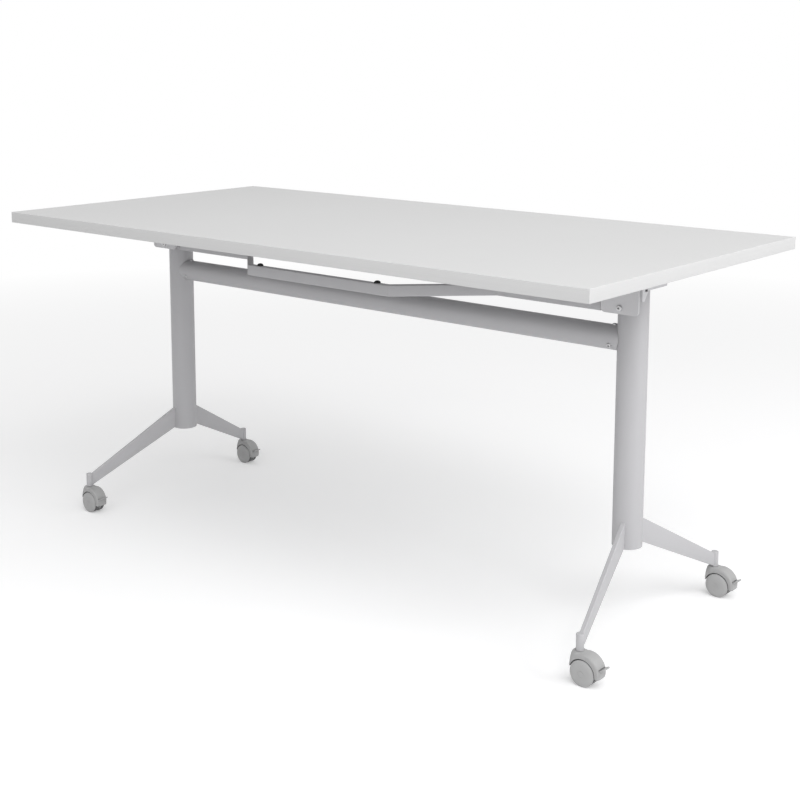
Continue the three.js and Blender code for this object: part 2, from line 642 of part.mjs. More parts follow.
// Caster hood: a shell over the two wheels with a middle web, an axle hub and the swivel stem.
// A window in its back takes the brake pedal.
function casterHood() {
  const top = SOCKET_BOTTOM - RUN;
  const wide = HOOD_HALF_WIDTH + OVERLAP;
  const shell = cut(
    hoodBlock(top),
    rod('y', HOOD_CAVITY_RADIUS, HOOD_WEB_HALF, wide, wheelCentre, WHEEL_SIDES),
    rod('y', HOOD_CAVITY_RADIUS, -wide, -HOOD_WEB_HALF, wheelCentre, WHEEL_SIDES),
    hoodSector(WINDOW_FLOOR, 2 * HOOD_RADIUS, WINDOW_ANGLES, PEDAL_HALF_WIDTH + FIT),
  );
  const whole = shell
    .add(solid(rod('y', HUB_RADIUS, -HOOD_WEB_HALF, HOOD_WEB_HALF, wheelCentre, SMALL_SIDES)))
    .add(solid(rod('z', STEM_RADIUS, top - OVERLAP, SOCKET_BOTTOM + STEM_LENGTH, [0, 0], SMALL_SIDES)));
  return surface(cut(
    whole,
    rod('y', CASTER_AXLE_RADIUS + FIT, -HOOD_HALF_WIDTH, HOOD_HALF_WIDTH, wheelCentre, SMALL_SIDES),
  ));
}

// Caster wheel: a turned disc with a domed outer face and a blind bore, facing +Y or -Y.
function casterWheel(side) {
  const bore = CASTER_AXLE_RADIUS + FIT;
  const domed = WHEEL_DOME.map((inset) => {
    const fall = (WHEEL_FACE - WHEEL_RIM) * (1 - inset / WHEEL_RADIUS) ** WHEEL_DOME_POWER;
    return [WHEEL_RADIUS - inset, WHEEL_FACE - fall];
  });
  const profile = [
    [0, WHEEL_FACE], ...domed, [WHEEL_RADIUS, WHEEL_RIM], [WHEEL_RADIUS, WHEEL_INNER],
    [bore, WHEEL_INNER], [bore, WHEEL_BORE_DEPTH], [0, WHEEL_BORE_DEPTH],
  ].reverse();
  const wheel = turned(profile, WHEEL_SIDES);
  if (side < 0) {
    wheel.rotateX(Math.PI);
  }
  return wheel.translate(wheelCentre[0], 0, wheelCentre[1]);
}

// Brake pedal: a short plate that stands out of the hood's back, with a curved shoe under it.
function brakePedal() {
  const half = PEDAL_THICKNESS / 2;
  const outline = [
    [PEDAL_REACH, half], [0, PEDAL_HUB], [-PEDAL_HUB, half], [-PEDAL_HUB, -half],
    [0, -PEDAL_HUB], [PEDAL_REACH, -half],
  ];
  const lever = plate('xz', outline, -PEDAL_HALF_WIDTH, PEDAL_HALF_WIDTH);
  lever.rotateY(-rad(PEDAL_SLOPE)).translate(pedalPivot[0], 0, pedalPivot[1]);
  return surface(join(lever, hoodSector(SHOE_INNER, SHOE_OUTER, SHOE_ANGLES, PEDAL_HALF_WIDTH)));
}

// The two ends: column, head, latch and bracket, mirrored about the middle.
function makeEnd(name, side) {
  const end = placed(side * COLUMN_X, 0);
  makeColumn(end, name);
  makeHead(end, name, side);
  makeQuadrant(end, name, side);
  makeBracket(end, name, side);
  makeStopBolt(end, name);
  makeAxle(end, name, side);
  makePawl(end, name, side);
  makeSpring(end, name, side);
}

// One corner: its foot, socket and caster. All four casters stand turned the same way.
function makeCorner(name, sideX, sideY, shared) {
  const angle = Math.atan2(sideY * FOOT_REACH_Y, sideX * FOOT_REACH_X);
  const foot = placed(sideX * COLUMN_X, 0, angle);
  addPart(foot, `foot_${name}`, shared.foot, silver);
  const corner = placed(sideX * (COLUMN_X + FOOT_REACH_X), sideY * FOOT_REACH_Y);
  addPart(corner, `caster_socket_${name}`, shared.socket, silver);
  addPart(corner, `caster_hood_${name}`, shared.hood, casterGrey);
  addPart(corner, `caster_axle_${name}`, shared.axle, steel);
  addPart(corner, `caster_wheel_front_${name}`, shared.wheelFront, treadGrey);
  addPart(corner, `caster_wheel_rear_${name}`, shared.wheelRear, treadGrey);
  addPart(corner, `brake_pedal_${name}`, shared.pedal, casterGrey);
}

makeTop();
makeEnd('left', -1);
makeEnd('right', 1);
makeReleaseBar();
makeBeam();
const axleEnd = WHEEL_BORE_DEPTH - FIT;
const cornerParts = {
  foot: footBlade(),
  socket: casterSocket(),
  hood: casterHood(),
  axle: rod('y', CASTER_AXLE_RADIUS, -axleEnd, axleEnd, wheelCentre, SMALL_SIDES),
  wheelFront: casterWheel(-1),
  wheelRear: casterWheel(1),
  pedal: brakePedal(),
};
makeCorner('front_left', -1, -1, cornerParts);
makeCorner('front_right', 1, -1, cornerParts);
makeCorner('rear_left', -1, 1, cornerParts);
makeCorner('rear_right', 1, 1, cornerParts);

export default table;
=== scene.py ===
"""Looks of a flip top training table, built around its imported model.

Every piece is in metres in the model's own frame: X along the table, -Y the
user's side, Z up, with the floor at zero.
"""

import logging
import math
from collections.abc import Iterable
from dataclasses import dataclass
from enum import Enum, IntEnum
from functools import reduce

import bmesh
import bpy
import numpy as np
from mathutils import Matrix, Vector


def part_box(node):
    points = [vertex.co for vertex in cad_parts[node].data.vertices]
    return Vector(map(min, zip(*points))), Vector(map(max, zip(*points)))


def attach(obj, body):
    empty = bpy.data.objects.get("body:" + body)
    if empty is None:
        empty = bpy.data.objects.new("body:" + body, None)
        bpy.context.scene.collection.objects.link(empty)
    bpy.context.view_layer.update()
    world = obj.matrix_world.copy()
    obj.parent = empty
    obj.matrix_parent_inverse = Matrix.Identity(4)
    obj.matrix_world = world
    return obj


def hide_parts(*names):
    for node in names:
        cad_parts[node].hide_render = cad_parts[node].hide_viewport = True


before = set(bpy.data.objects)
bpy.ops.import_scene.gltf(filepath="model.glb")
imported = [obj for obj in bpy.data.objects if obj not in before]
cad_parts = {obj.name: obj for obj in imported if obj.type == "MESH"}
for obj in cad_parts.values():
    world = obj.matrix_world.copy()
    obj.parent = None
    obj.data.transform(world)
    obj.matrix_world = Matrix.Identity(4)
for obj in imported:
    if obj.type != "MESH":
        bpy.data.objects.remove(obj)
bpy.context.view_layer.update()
MM = 0.001
FULL_TURN = 2 * math.pi
QUARTER_TURN = math.pi / 2
MERGE_GAP = 1e-6
TINY = 1e-12
CREASE = 32.0
BEVEL_SEGMENTS = 2
WHITE = (1, 1, 1, 1)
X_AXIS, Y_AXIS, Z_AXIS = np.eye(3)
# The corners of a rectangle about its middle, anticlockwise
QUARTERS = np.array([[-1, -1], [1, -1], [1, 1], [-1, 1]])
# A direction that no screw faces
ASKEW = Z_AXIS + 0.37 * X_AXIS
log = logging.getLogger("training_table")


class Sides(IntEnum):
    """Steps round a turned shape."""

    COLUMN = 128
    WHEEL = 96
    USUAL = 64
    SCREW = 48
    PIN = 40
    THIN = 32


class Arc(IntEnum):
    """Steps in the arc of one rounded edge."""

    FINE = 6
    BEND = 5
    USUAL = 4
    SMALL = 3
    COARSE = 2
    CHAMFER = 1


class Labelled(Enum):
    """Places of the table that the model's nodes are named after."""

    @property
    def label(self) -> str:
        """The place's name as the model's nodes write it."""
        return self.name.lower()


class End(Labelled):
    """The two ends of the table, with the sign of their X."""

    LEFT = -1
    RIGHT = 1


class Corner(Labelled):
    """The four feet, with the signs of their X and Y."""

    FRONT_LEFT = (-1, -1)
    FRONT_RIGHT = (1, -1)
    REAR_LEFT = (-1, 1)
    REAR_RIGHT = (1, 1)


class Side(Labelled):
    """The four sides of the top, with the direction that each faces."""

    FRONT = (0, -1)
    REAR = (0, 1)
    LEFT = (-1, 0)
    RIGHT = (1, 0)


# Numpy geometry


def unit(vectors: np.ndarray) -> np.ndarray:
    """Scales vectors to length one and leaves zero vectors at zero.

    Args:
        vectors: Any array whose last axis holds the components.

    Returns:
        An array of the same shape.
    """
    length = np.linalg.norm(vectors, axis=-1, keepdims=True)
    return vectors / np.maximum(length, TINY)


def fillet(corners: np.ndarray, radii: np.ndarray, steps: int = Arc.BEND, closed: bool = True) -> np.ndarray:
    """Rounds the corners of a flat outline.

    A corner with a radius becomes an arc that touches both of its edges: the
    arc's centre lies on the corner's bisector, at radius / sin(half angle).

    Args:
        corners: (k, 2) corner points in order.
        radii: One radius, or one for each corner. Zero keeps the corner sharp.
        steps: Segments in each arc.
        closed: False for an open line, whose two ends stay as they are.

    Returns:
        (n, 2) points of the rounded outline.
    """
    corners = np.asarray(corners, float)
    radii = np.broadcast_to(np.asarray(radii, float), len(corners)).copy()
    if not closed:
        radii[[0, -1]] = 0
    back = unit(np.roll(corners, 1, axis=0) - corners)
    ahead = unit(np.roll(corners, -1, axis=0) - corners)
    half = np.arccos(np.clip((back * ahead).sum(axis=1), -1, 1)) / 2
    trim = radii / np.maximum(np.tan(half), TINY)
    bisector = unit(back + ahead) * (radii / np.maximum(np.sin(half), TINY))[:, None]
    first = back * trim[:, None] - bisector
    last = ahead * trim[:, None] - bisector
    turn = np.arctan2(first[:, 0] * last[:, 1] - first[:, 1] * last[:, 0], (first * last).sum(axis=1))
    angle = np.arctan2(first[:, 1], first[:, 0])[:, None] + turn[:, None] * np.linspace(0, 1, steps + 1)
    arcs = np.stack([np.cos(angle), np.sin(angle)], axis=-1) * radii[:, None, None]
    arcs += (corners + bisector)[:, None]
    return np.concatenate([arc if r > 0 else arc[:1] for arc, r in zip(arcs, radii)])


def rectangle(width: float, height: float, radius: float) -> np.ndarray:
    """A rounded rectangle about the origin, anticlockwise, as (n, 2) points."""
    return fillet(QUARTERS * np.array([width, height]) / 2, radius, Arc.USUAL)


def corner_steps(radius: float, steps: int) -> np.ndarray:
    """Distances r (1 - cos a) before the end of a round corner, at even angles a from 0 to 90 degrees."""
    return radius * (1 - np.cos(np.linspace(0, QUARTER_TURN, steps + 1)))


def corner_fall(distance: np.ndarray, radius: float) -> np.ndarray:
    """How far a round corner falls back: r - sqrt(r^2 - (r - d)^2) at a distance d before its end.

    Args:
        distance: Distances from the end. From the radius on there is no fall.
        radius: The corner's radius.

    Returns:
        One fall for each distance.
    """
    left = radius - np.minimum(distance, radius)
    return radius - np.sqrt(np.maximum(radius**2 - left**2, 0))


def inset(outline: np.ndarray, amount: float) -> np.ndarray:
    """Moves an anticlockwise outline inwards along its mitred corner normals.

    Args:
        outline: (n, 2) points.
        amount: Distance between the old edges and the new ones.

    Returns:
        (n, 2) points.
    """
    edge = unit(np.roll(outline, -1, axis=0) - outline)
    normal = np.stack([-edge[:, 1], edge[:, 0]], axis=1)
    before = np.roll(normal, 1, axis=0)
    return outline + amount * (normal + before) / (1 + (normal * before).sum(axis=1))[:, None]


@dataclass
class Surface:
    """A polygon surface: its points and the faces between them."""

    points: np.ndarray
    faces: list

    def __add__(self, other: "Surface") -> "Surface":
        """Both surfaces as one.

        Args:
            other: The surface to add.

        Returns:
            A new surface.
        """
        shift = len(self.points)
        moved = [[i + shift for i in face] for face in other.faces]
        return Surface(np.concatenate([self.points, other.points]), self.faces + moved)

    def placed(self, origin: np.ndarray, u: np.ndarray, v: np.ndarray, w: np.ndarray) -> "Surface":
        """Lays the surface's own axes along u, v and w, from an origin.

        Args:
            origin: Where the surface's own zero goes.
            u: Direction of its first axis.
            v: Direction of its second axis.
            w: Direction of its third axis.

        Returns:
            The placed copy.
        """
        axes = np.array([u, v, w], float)
        return Surface(self.points @ axes + np.asarray(origin, float), self.faces)

    def upright(self, origin: np.ndarray) -> "Surface":
        """The surface moved to an origin, with its third axis up."""
        return self.placed(origin, X_AXIS, Y_AXIS, Z_AXIS)

    def outward(self, origin: np.ndarray, end: End) -> "Surface":
        """The surface laid from an origin, with its third axis along X and out at an end of the table."""
        return self.placed(origin, Y_AXIS, Z_AXIS, end.value * X_AXIS)


def joined(surfaces: Iterable[Surface]) -> Surface:
    """All the surfaces as one."""
    return reduce(Surface.__add__, surfaces)


def loft(rings: np.ndarray, loop: bool = False, windows: tuple = ()) -> Surface:
    """Skins a stack of closed rings with quads and closes both ends with flat faces.

    Args:
        rings: (m, n, 3) points, ring by ring.
        loop: True joins the last ring to the first and leaves out the end faces.
        windows: Holes through a wall, as (ring, outer column, inner column) cells.

    Returns:
        The closed surface.
    """
    m, n = rings.shape[:2]
    index = np.arange(m * n).reshape(m, n)
    rows = np.concatenate([index, index[:1]]) if loop else index
    ahead = np.roll(rows, -1, axis=1)
    quads = np.stack([rows[:-1], ahead[:-1], ahead[1:], rows[1:]], axis=-1)
    keep = np.ones(quads.shape[:2], bool)
    walls = []
    for ring, outer, inner in windows:
        keep[ring, [outer, inner]] = False
        # The inner cell runs the other way, so its corners are paired in mirrored order
        near = quads[ring, outer]
        far = quads[ring, inner][[1, 0, 3, 2]]
        walls.append(np.stack([near, np.roll(near, -1), np.roll(far, -1), far], axis=-1))
    faces = quads[keep].tolist() + [face for wall in walls for face in wall.tolist()]
    if not loop:
        faces += [index[0][::-1].tolist(), index[-1].tolist()]
    return Surface(rings.reshape(-1, 3), faces)


def lathe(profile: np.ndarray, sides: int = Sides.USUAL, loop: bool = False,
          hexagon: slice = slice(0)) -> Surface:
    """Turns a profile about the third axis.

    The point at angle a on the row (r, h) is (r cos a, r sin a, h). On the
    rows of a hexagon r becomes r cos 30 / cos(a mod 60 - 30), in degrees.

    Args:
        profile: (m, 2) rows of radius and height.
        sides: Steps round the axis.
        loop: True for a profile that closes on itself, such as a tube's wall.
        hexagon: The rows that run round a hexagon, with r to its corners.

    Returns:
        The turned surface.
    """
    profile = np.asarray(profile, float)
    angle = FULL_TURN * np.arange(sides) / sides
    radius = np.repeat(profile[:, :1], sides, axis=1)
    sixth = FULL_TURN / 6
    radius[hexagon] *= math.cos(sixth / 2) / np.cos(angle % sixth - sixth / 2)
    height = np.broadcast_to(profile[:, 1:], radius.shape)
    return loft(np.stack([radius * np.cos(angle), radius * np.sin(angle), height], axis=-1), loop)


def slab(outline: np.ndarray, low: float, high: float, rim: float, steps: int = Arc.SMALL) -> Surface:
    """A plate of an outline whose two rims are rounded.

    Along each rim the outline is inset by corner_fall at the depths of
    corner_steps.

    Args:
        outline: (n, 2) anticlockwise points.
        low: Height of the lower face.
        high: Height of the upper face.
        rim: Radius of the rims.
        steps: Segments across a rim.

    Returns:
        The closed plate.
    """
    depths = corner_steps(rim, steps)
    amounts = corner_fall(depths, rim)
    heights = np.concatenate([low + depths, high - depths[::-1]])
    flat = np.stack([inset(outline, a) for a in np.concatenate([amounts, amounts[::-1]])])
    level = np.broadcast_to(heights[:, None, None], flat.shape[:2] + (1,))
    return loft(np.concatenate([flat, level], axis=-1))


def carry(path: np.ndarray, across: np.ndarray, up: np.ndarray, section: np.ndarray) -> np.ndarray:
    """Carries a section along a path: each point is path + s across + t up.

    Args:
        path: (m, 3) points.
        across: (m, 3) or (3,) direction of the section's first coordinate.
        up: (m, 3) or (3,) direction of its second coordinate.
        section: (n, 2) or (m, n, 2) points.

    Returns:
        (m, n, 3) rings for loft.
    """
    shape = (len(path),) + np.shape(section)[-2:]
    section = np.broadcast_to(section, shape)
    across = np.broadcast_to(across, path.shape)[:, None]
    up = np.broadcast_to(up, path.shape)[:, None]
    return path[:, None] + section[..., :1] * across + section[..., 1:] * up


def soft_least(first: np.ndarray, second: np.ndarray, reach: float) -> np.ndarray:
    """The lesser of two values, rounded where they differ by less than a reach.

    With h = 1/2 + (second - first) / (2 reach), held between 0 and 1, it is
    second (1 - h) + first h - reach h (1 - h).

    Args:
        first: Any values.
        second: Values of the same shape.
        reach: Width of the rounding.

    Returns:
        The rounded least.
    """
    h = np.clip(0.5 + 0.5 * (second - first) / reach, 0, 1)
    return second * (1 - h) + first * h - reach * h * (1 - h)


@dataclass(frozen=True)
class NodeBox:
    """The box of one of the model's nodes."""

    low: np.ndarray
    high: np.ndarray

    @classmethod
    def of(cls, node: str) -> "NodeBox":
        """The box of the node of that name."""
        low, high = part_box(node)
        return cls(np.array(low), np.array(high))

    @property
    def centre(self) -> np.ndarray:
        """The middle of the box."""
        return (self.low + self.high) / 2

    @property
    def size(self) -> np.ndarray:
        """The box's extent along each axis."""
        return self.high - self.low

    @property
    def radius(self) -> float:
        """The radius of a round node that stands upright."""
        return self.size[0] / 2

    @property
    def floor_point(self) -> np.ndarray:
        """The point of the floor under the middle of the box."""
        return np.append(self.centre[:2], 0)

    def inner_x(self, end: End) -> float:
        """The X of the box's face towards the middle of the table, at an end."""
        return self.low[0] if end is End.RIGHT else self.high[0]


# Shaders


class Wire:
    """A value inside a shader, whose arithmetic adds Math nodes."""

    def __init__(self, graph: "Graph", socket: bpy.types.NodeSocket) -> None:
        """Keeps the graph and the socket that the value comes from."""
        self.graph = graph
        self.socket = socket

    def __add__(self, other: object) -> "Wire":
        """The sum."""
        return self.graph.math("ADD", self, other)

    def __radd__(self, other: object) -> "Wire":
        """The sum with a number on the left."""
        return self.graph.math("ADD", other, self)

    def __mul__(self, other: object) -> "Wire":
        """The product."""
        return self.graph.math("MULTIPLY", self, other)

    def __rmul__(self, other: object) -> "Wire":
        """The product with a number on the left."""
        return self.graph.math("MULTIPLY", other, self)


class Graph:
    """The node tree of one material or world."""

    def __init__(self, tree: bpy.types.NodeTree) -> None:
        """Empties the tree and keeps it."""
        tree.nodes.clear()
        self.tree = tree

    def node(self, kind: str, settings: dict, inputs: dict, output: object = 0) -> Wire:
        """Adds any node.

        Args:
            kind: The node's type name.
            settings: Its properties, set first. A ramp's stops are (place, grey) pairs.
            inputs: Values or wires for its sockets, by name or number.
            output: The socket of the result, by name or number.

        Returns:
            The wire of that output, or of the first input of a node without outputs.
        """
        made = self.tree.nodes.new(kind)
        for name, value in settings.items():
            if name == "stops":
                for element, (place, grey) in zip(made.color_ramp.elements, value):
                    element.position = place
                    element.color = (grey, grey, grey, 1)
            else:
                setattr(made, name, value)
        for name, value in inputs.items():
            if isinstance(value, Wire):
                self.tree.links.new(value.socket, made.inputs[name])
            else:
                made.inputs[name].default_value = value
        return Wire(self, made.outputs[output] if len(made.outputs) else made.inputs[0])

    def math(self, operation: str, first: object, second: object) -> Wire:
        """The result of a Math node for two wires or numbers."""
        return self.node("ShaderNodeMath", {"operation": operation}, {0: first, 1: second})

    def place(self, scale: tuple = (1, 1, 1)) -> Wire:
        """Object coordinates, stretched by a factor along each axis."""
        here = self.node("ShaderNodeTexCoord", {}, {}, "Object")
        return self.node("ShaderNodeMapping", {}, {"Vector": here, "Scale": scale})

    def noise(self, scale: float, detail: float = 2.0, stretch: tuple = (1, 1, 1)) -> Wire:
        """Cloudy noise from 0 to 1, by its clouds per metre, finer octaves and factor along each axis."""
        inputs = {"Vector": self.place(stretch), "Scale": scale, "Detail": detail}
        return self.node("ShaderNodeTexNoise", {}, inputs)

    def in_view(self) -> Wire:
        """Tells what the camera sees, also in a reflection or through glass, from other light.

        Returns:
            The wire of 1 for what is seen and 0 for the rest.
        """
        seen = self.node("ShaderNodeLightPath", {}, {}, "Is Camera Ray")
        for ray in ("Is Glossy Ray", "Is Transmission Ray"):
            seen = self.math("MAXIMUM", seen, self.node("ShaderNodeLightPath", {}, {}, ray))
        return seen

    def blend(self, factor: Wire, first: tuple, second: tuple) -> Wire:
        """The mix of two colours: the first where the factor is 0, the second where it is 1."""
        # A Mix node's sockets for colours are its inputs 6 and 7 and its output 2
        inputs = {0: factor, 6: (*first, 1), 7: (*second, 1)}
        return self.node("ShaderNodeMix", {"data_type": "RGBA"}, inputs, 2)

    def glow(self, strength: float) -> Wire:
        """White light of a strength, as a shader."""
        return self.node("ShaderNodeEmission", {}, {"Color": WHITE, "Strength": strength})

    def mix(self, factor: Wire, first: Wire, second: Wire) -> Wire:
        """The mix of two shaders: the first where the factor is 0, the second where it is 1."""
        return self.node("ShaderNodeMixShader", {}, {0: factor, 1: first, 2: second})

    def surface(self, **sockets: object) -> None:
        """Ends the graph in a Principled shader.

        Args:
            sockets: Its inputs, with underscores for spaces.
        """
        inputs = {name.replace("_", " "): value for name, value in sockets.items()}
        shader = self.node("ShaderNodeBsdfPrincipled", {}, inputs)
        self.node("ShaderNodeOutputMaterial", {}, {"Surface": shader})


def new_material(name: str) -> tuple[bpy.types.Material, Graph]:
    """Makes a material with an empty graph.

    Args:
        name: Its name.

    Returns:
        The material and its graph.
    """
    made = bpy.data.materials.new(name)
    made.use_nodes = True
    return made, Graph(made.node_tree)


def about(value: float, spread: float, factor: Wire) -> Wire:
    """A value that goes from a spread below to a spread above as a factor goes from 0 to 1."""
    return value - spread + 2 * spread * factor


@dataclass(frozen=True)
class Finish:
    """A surface finish: its name, a slot name and its main values.

    In every kind the tones are the shares of the colour in its darkest and
    lightest places, gloss is how far the roughness goes up and down, relief
    is the bump's strength, depth is its height, and scales count per metre.
    """

    name: str
    slot: str
    colour: tuple
    roughness: float
    tones: tuple = (0.95, 1.05)
    gloss: float = 0.07
    relief: float = 0.12
    depth: float = 0.1 * MM

    def material(self) -> bpy.types.Material:
        """The finish's material, made once.

        Returns:
            The Blender material.
        """
        found = bpy.data.materials.get(self.name)
        if found is None:
            found, graph = new_material(self.name)
            self.shader(graph)
        return found

    def shader(self, graph: Graph) -> None:
        """Builds the finish's nodes. Each kind of finish has its own."""
        raise NotImplementedError

    def complete(self, graph: Graph, tone: Wire, sheen: Wire, height: Wire, **others: object) -> None:
        """Ends a graph with the finish's colour, roughness and bump.

        Args:
            graph: The material's graph.
            tone: 0 where the colour is darkest, 1 where it is lightest.
            sheen: 0 where the surface is smoothest, 1 where it is roughest.
            height: The bump's height, 0 to 1.
            others: Other inputs of the Principled shader.
        """
        dark, light = (tuple(channel * share for channel in self.colour) for share in self.tones)
        bump = {"Strength": self.relief, "Distance": self.depth, "Height": height}
        graph.surface(
            Base_Color=graph.blend(tone, dark, light),
            Roughness=about(self.roughness, self.gloss, sheen),
            Normal=graph.node("ShaderNodeBump", {}, bump),
            **others,
        )


@dataclass(frozen=True)
class Melamine(Finish):
    """Melamine board: a pearl texture of fine shallow bumps and a barely clouded tone."""

    tones: tuple = (0.97, 1.03)
    gloss: float = 0.06
    relief: float = 0.16
    depth: float = 0.12 * MM
    grain: float = 950.0
    grain_share: float = 0.35
    clouds: float = 2.3
    specular: float = 0.22

    def shader(self, graph: Graph) -> None:
        """Clouds and fine flecks vary the tone, and the pearl grain varies gloss and normal.

        Args:
            graph: The material's graph.
        """
        grain = graph.noise(self.grain, detail=3.0)
        clouds = graph.noise(self.clouds)
        tone = self.grain_share * grain + (1 - self.grain_share) * clouds
        self.complete(graph, tone, grain, grain, Specular_IOR_Level=self.specular)


@dataclass(frozen=True)
class EdgeStrip(Finish):
    """Extruded edge strip: faint lines along its length on a satin skin."""

    tones: tuple = (0.965, 1.035)
    gloss: float = 0.05
    relief: float = 0.1
    depth: float = 0.08 * MM
    lines: tuple = (3, 3, 700)
    line_share: float = 0.6
    grain: float = 800.0
    specular: float = 0.35

    def shader(self, graph: Graph) -> None:
        """Noise that is stretched along the strip draws the lines.

        Args:
            graph: The material's graph.
        """
        lines = graph.noise(scale=1.0, detail=4.0, stretch=self.lines)
        grain = graph.noise(self.grain)
        height = self.line_share * lines + (1 - self.line_share) * grain
        self.complete(graph, lines, lines, height, Specular_IOR_Level=self.specular)


@dataclass(frozen=True)
class PowderCoat(Finish):
    """Silver powder coat: an orange peel skin with fine metallic flecks."""

    tones: tuple = (0.94, 1.06)
    relief: float = 0.14
    depth: float = 0.16 * MM
    metal: float = 0.12
    metal_spread: float = 0.08
    flecks: float = 2600.0
    peel: float = 620.0
    clouds: float = 5.0
    shares: tuple = (0.45, 0.25, 0.3)

    def shader(self, graph: Graph) -> None:
        """Cells give each fleck its own tone, and soft noise gives the orange peel.

        Args:
            graph: The material's graph.
        """
        inputs = {"Vector": graph.place(), "Scale": self.flecks}
        cells = graph.node("ShaderNodeTexVoronoi", {}, inputs, "Color")
        fleck = graph.node("ShaderNodeSeparateColor", {}, {"Color": cells})
        peel = graph.noise(self.peel)
        clouds = graph.noise(self.clouds)
        of_fleck, of_peel, of_clouds = self.shares
        tone = of_fleck * fleck + of_peel * peel + of_clouds * clouds
        self.complete(graph, tone, peel, peel, Metallic=about(self.metal, self.metal_spread, fleck))


@dataclass(frozen=True)
class Moulded(Finish):
    """Moulded plastic: a spark eroded skin and slow flow shading."""

    grain: float = 1500.0
    flow: float = 38.0
    flow_share: float = 0.6

    def shader(self, graph: Graph) -> None:
        """Slow noise shades the flow of the plastic, and fine noise makes its matt skin.

        Args:
            graph: The material's graph.
        """
        grain = graph.noise(self.grain, detail=3.0)
        flow = graph.noise(self.flow, detail=3.0)
        tone = self.flow_share * flow + (1 - self.flow_share) * grain
        self.complete(graph, tone, grain, grain)


@dataclass(frozen=True)
class PlatedSteel(Finish):
    """Zinc plated steel: clouded plating with fine drawn lines."""

    tones: tuple = (0.86, 1.12)
    gloss: float = 0.1
    relief: float = 0.08
    depth: float = 0.06 * MM
    clouds: float = 120.0
    lines: tuple = (90, 2400, 2400)

    def shader(self, graph: Graph) -> None:
        """Clouds change the tone of the plating, and stretched noise its gloss.

        Args:
            graph: The material's graph.
        """
        clouds = graph.noise(self.clouds, detail=3.0)
        lines = graph.noise(scale=1.0, detail=3.0, stretch=self.lines)
        self.complete(graph, clouds, lines, lines, Metallic=1.0)


LAMINATE = Melamine("laminate_finish", "laminate", (0.63, 0.63, 0.63), 0.48)
# Painted shade: the sheet under the board is darker than the board, to deepen the shade on the parts under
# the top
BACKING_SHADE = Melamine("backing_painted_shade_finish", "laminate", (0.45, 0.45, 0.45), 0.55)
BAND = EdgeStrip("edge_band_finish", "edge_band", (0.67, 0.67, 0.67), 0.45)
SILVER = PowderCoat("silver_paint_finish", "silver_paint", (0.53, 0.526, 0.54), 0.5)
# Painted light: the brackets take a lighter copy of the silver paint, for the light that falls on them
BRACKET_PAINTED_LIGHT = PowderCoat("bracket_paint_painted_light_finish", "silver_paint", (0.69, 0.685, 0.7), 0.5)
STEEL = PlatedSteel("bare_steel_finish", "bare_steel", (0.56, 0.56, 0.565), 0.38)
CASTER = Moulded("caster_grey_finish", "caster_grey", (0.423, 0.423, 0.423), 0.5)
WHEEL = Moulded("wheel_grey_finish", "wheel_grey", (0.455, 0.455, 0.455), 0.55)
# Painted shade: the treads are near black to stand for the shadow in the gap under the hood
TREAD_SHADE = Moulded("tread_painted_shade_finish", "wheel_grey", (0.12, 0.12, 0.122), 0.6)
RUBBER = Moulded("black_rubber_finish", "black_rubber", (0.008, 0.008, 0.008), 0.72,
                 tones=(0.75, 1.25), grain=900.0)
# The column plugs' dark plastic is their own colour; the same finish on the plate behind each bracket slot
# is painted shade
PLUG_AND_SLOT_SHADE = Moulded("dark_plastic_and_slot_shade_finish", "dark_plastic", (0.05, 0.05, 0.053), 0.55,
               tones=(0.85, 1.15), grain=1200.0)


# Pieces


def add_object(name: str, data: bpy.types.ID) -> bpy.types.Object:
    """Puts a mesh, a lamp or a camera into the scene.

    Args:
        name: The object's name.
        data: What it shows.

    Returns:
        The object.
    """
    made = bpy.data.objects.new(name, data)
    bpy.context.scene.collection.objects.link(made)
    return made


def add_piece(name: str, body: str, surface: Surface, finish: Finish, nodes: tuple = (),
              crease: float = CREASE, soften: float = 0.0) -> None:
    """Makes a piece from a surface and hangs it on a body of the model.

    Args:
        name: The piece's name.
        body: The body that it rides on.
        surface: Its shape in the model's frame.
        finish: Its finish.
        nodes: The model's nodes that it stands for.
        crease: Edges that bend by more than this many degrees stay crisp.
        soften: Width of a bevel on those edges, or zero for none.
    """
    mesh = bpy.data.meshes.new(name)
    mesh.from_pydata(surface.points, [], surface.faces)
    shell = bmesh.new()
    shell.from_mesh(mesh)
    bmesh.ops.remove_doubles(shell, verts=shell.verts, dist=MERGE_GAP)
    bmesh.ops.recalc_face_normals(shell, faces=shell.faces)
    shell.to_mesh(mesh)
    shell.free()
    mesh.shade_smooth()
    mesh.set_sharp_from_angle(angle=math.radians(crease))
    mesh.materials.append(finish.material())
    piece = add_object(name, mesh)
    if soften > 0:
        bevel = piece.modifiers.new("softened_edges", "BEVEL")
        bevel.width = soften
        bevel.segments = BEVEL_SEGMENTS
        bevel.limit_method = "ANGLE"
        bevel.angle_limit = math.radians(crease)
        bevel.harden_normals = True
    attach(piece, body)
    if nodes:
        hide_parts(*nodes)
    log.info("%s rides on %s with %d faces", name, body, len(mesh.polygons))


def dress_node(node: str, finish: Finish) -> None:
    """Gives one of the model's own nodes a finish.

    Args:
        node: The node's name.
        finish: Its finish.
    """
    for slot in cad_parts[node].material_slots:
        slot.material = finish.material()
    log.info("%s keeps its own shape", node)


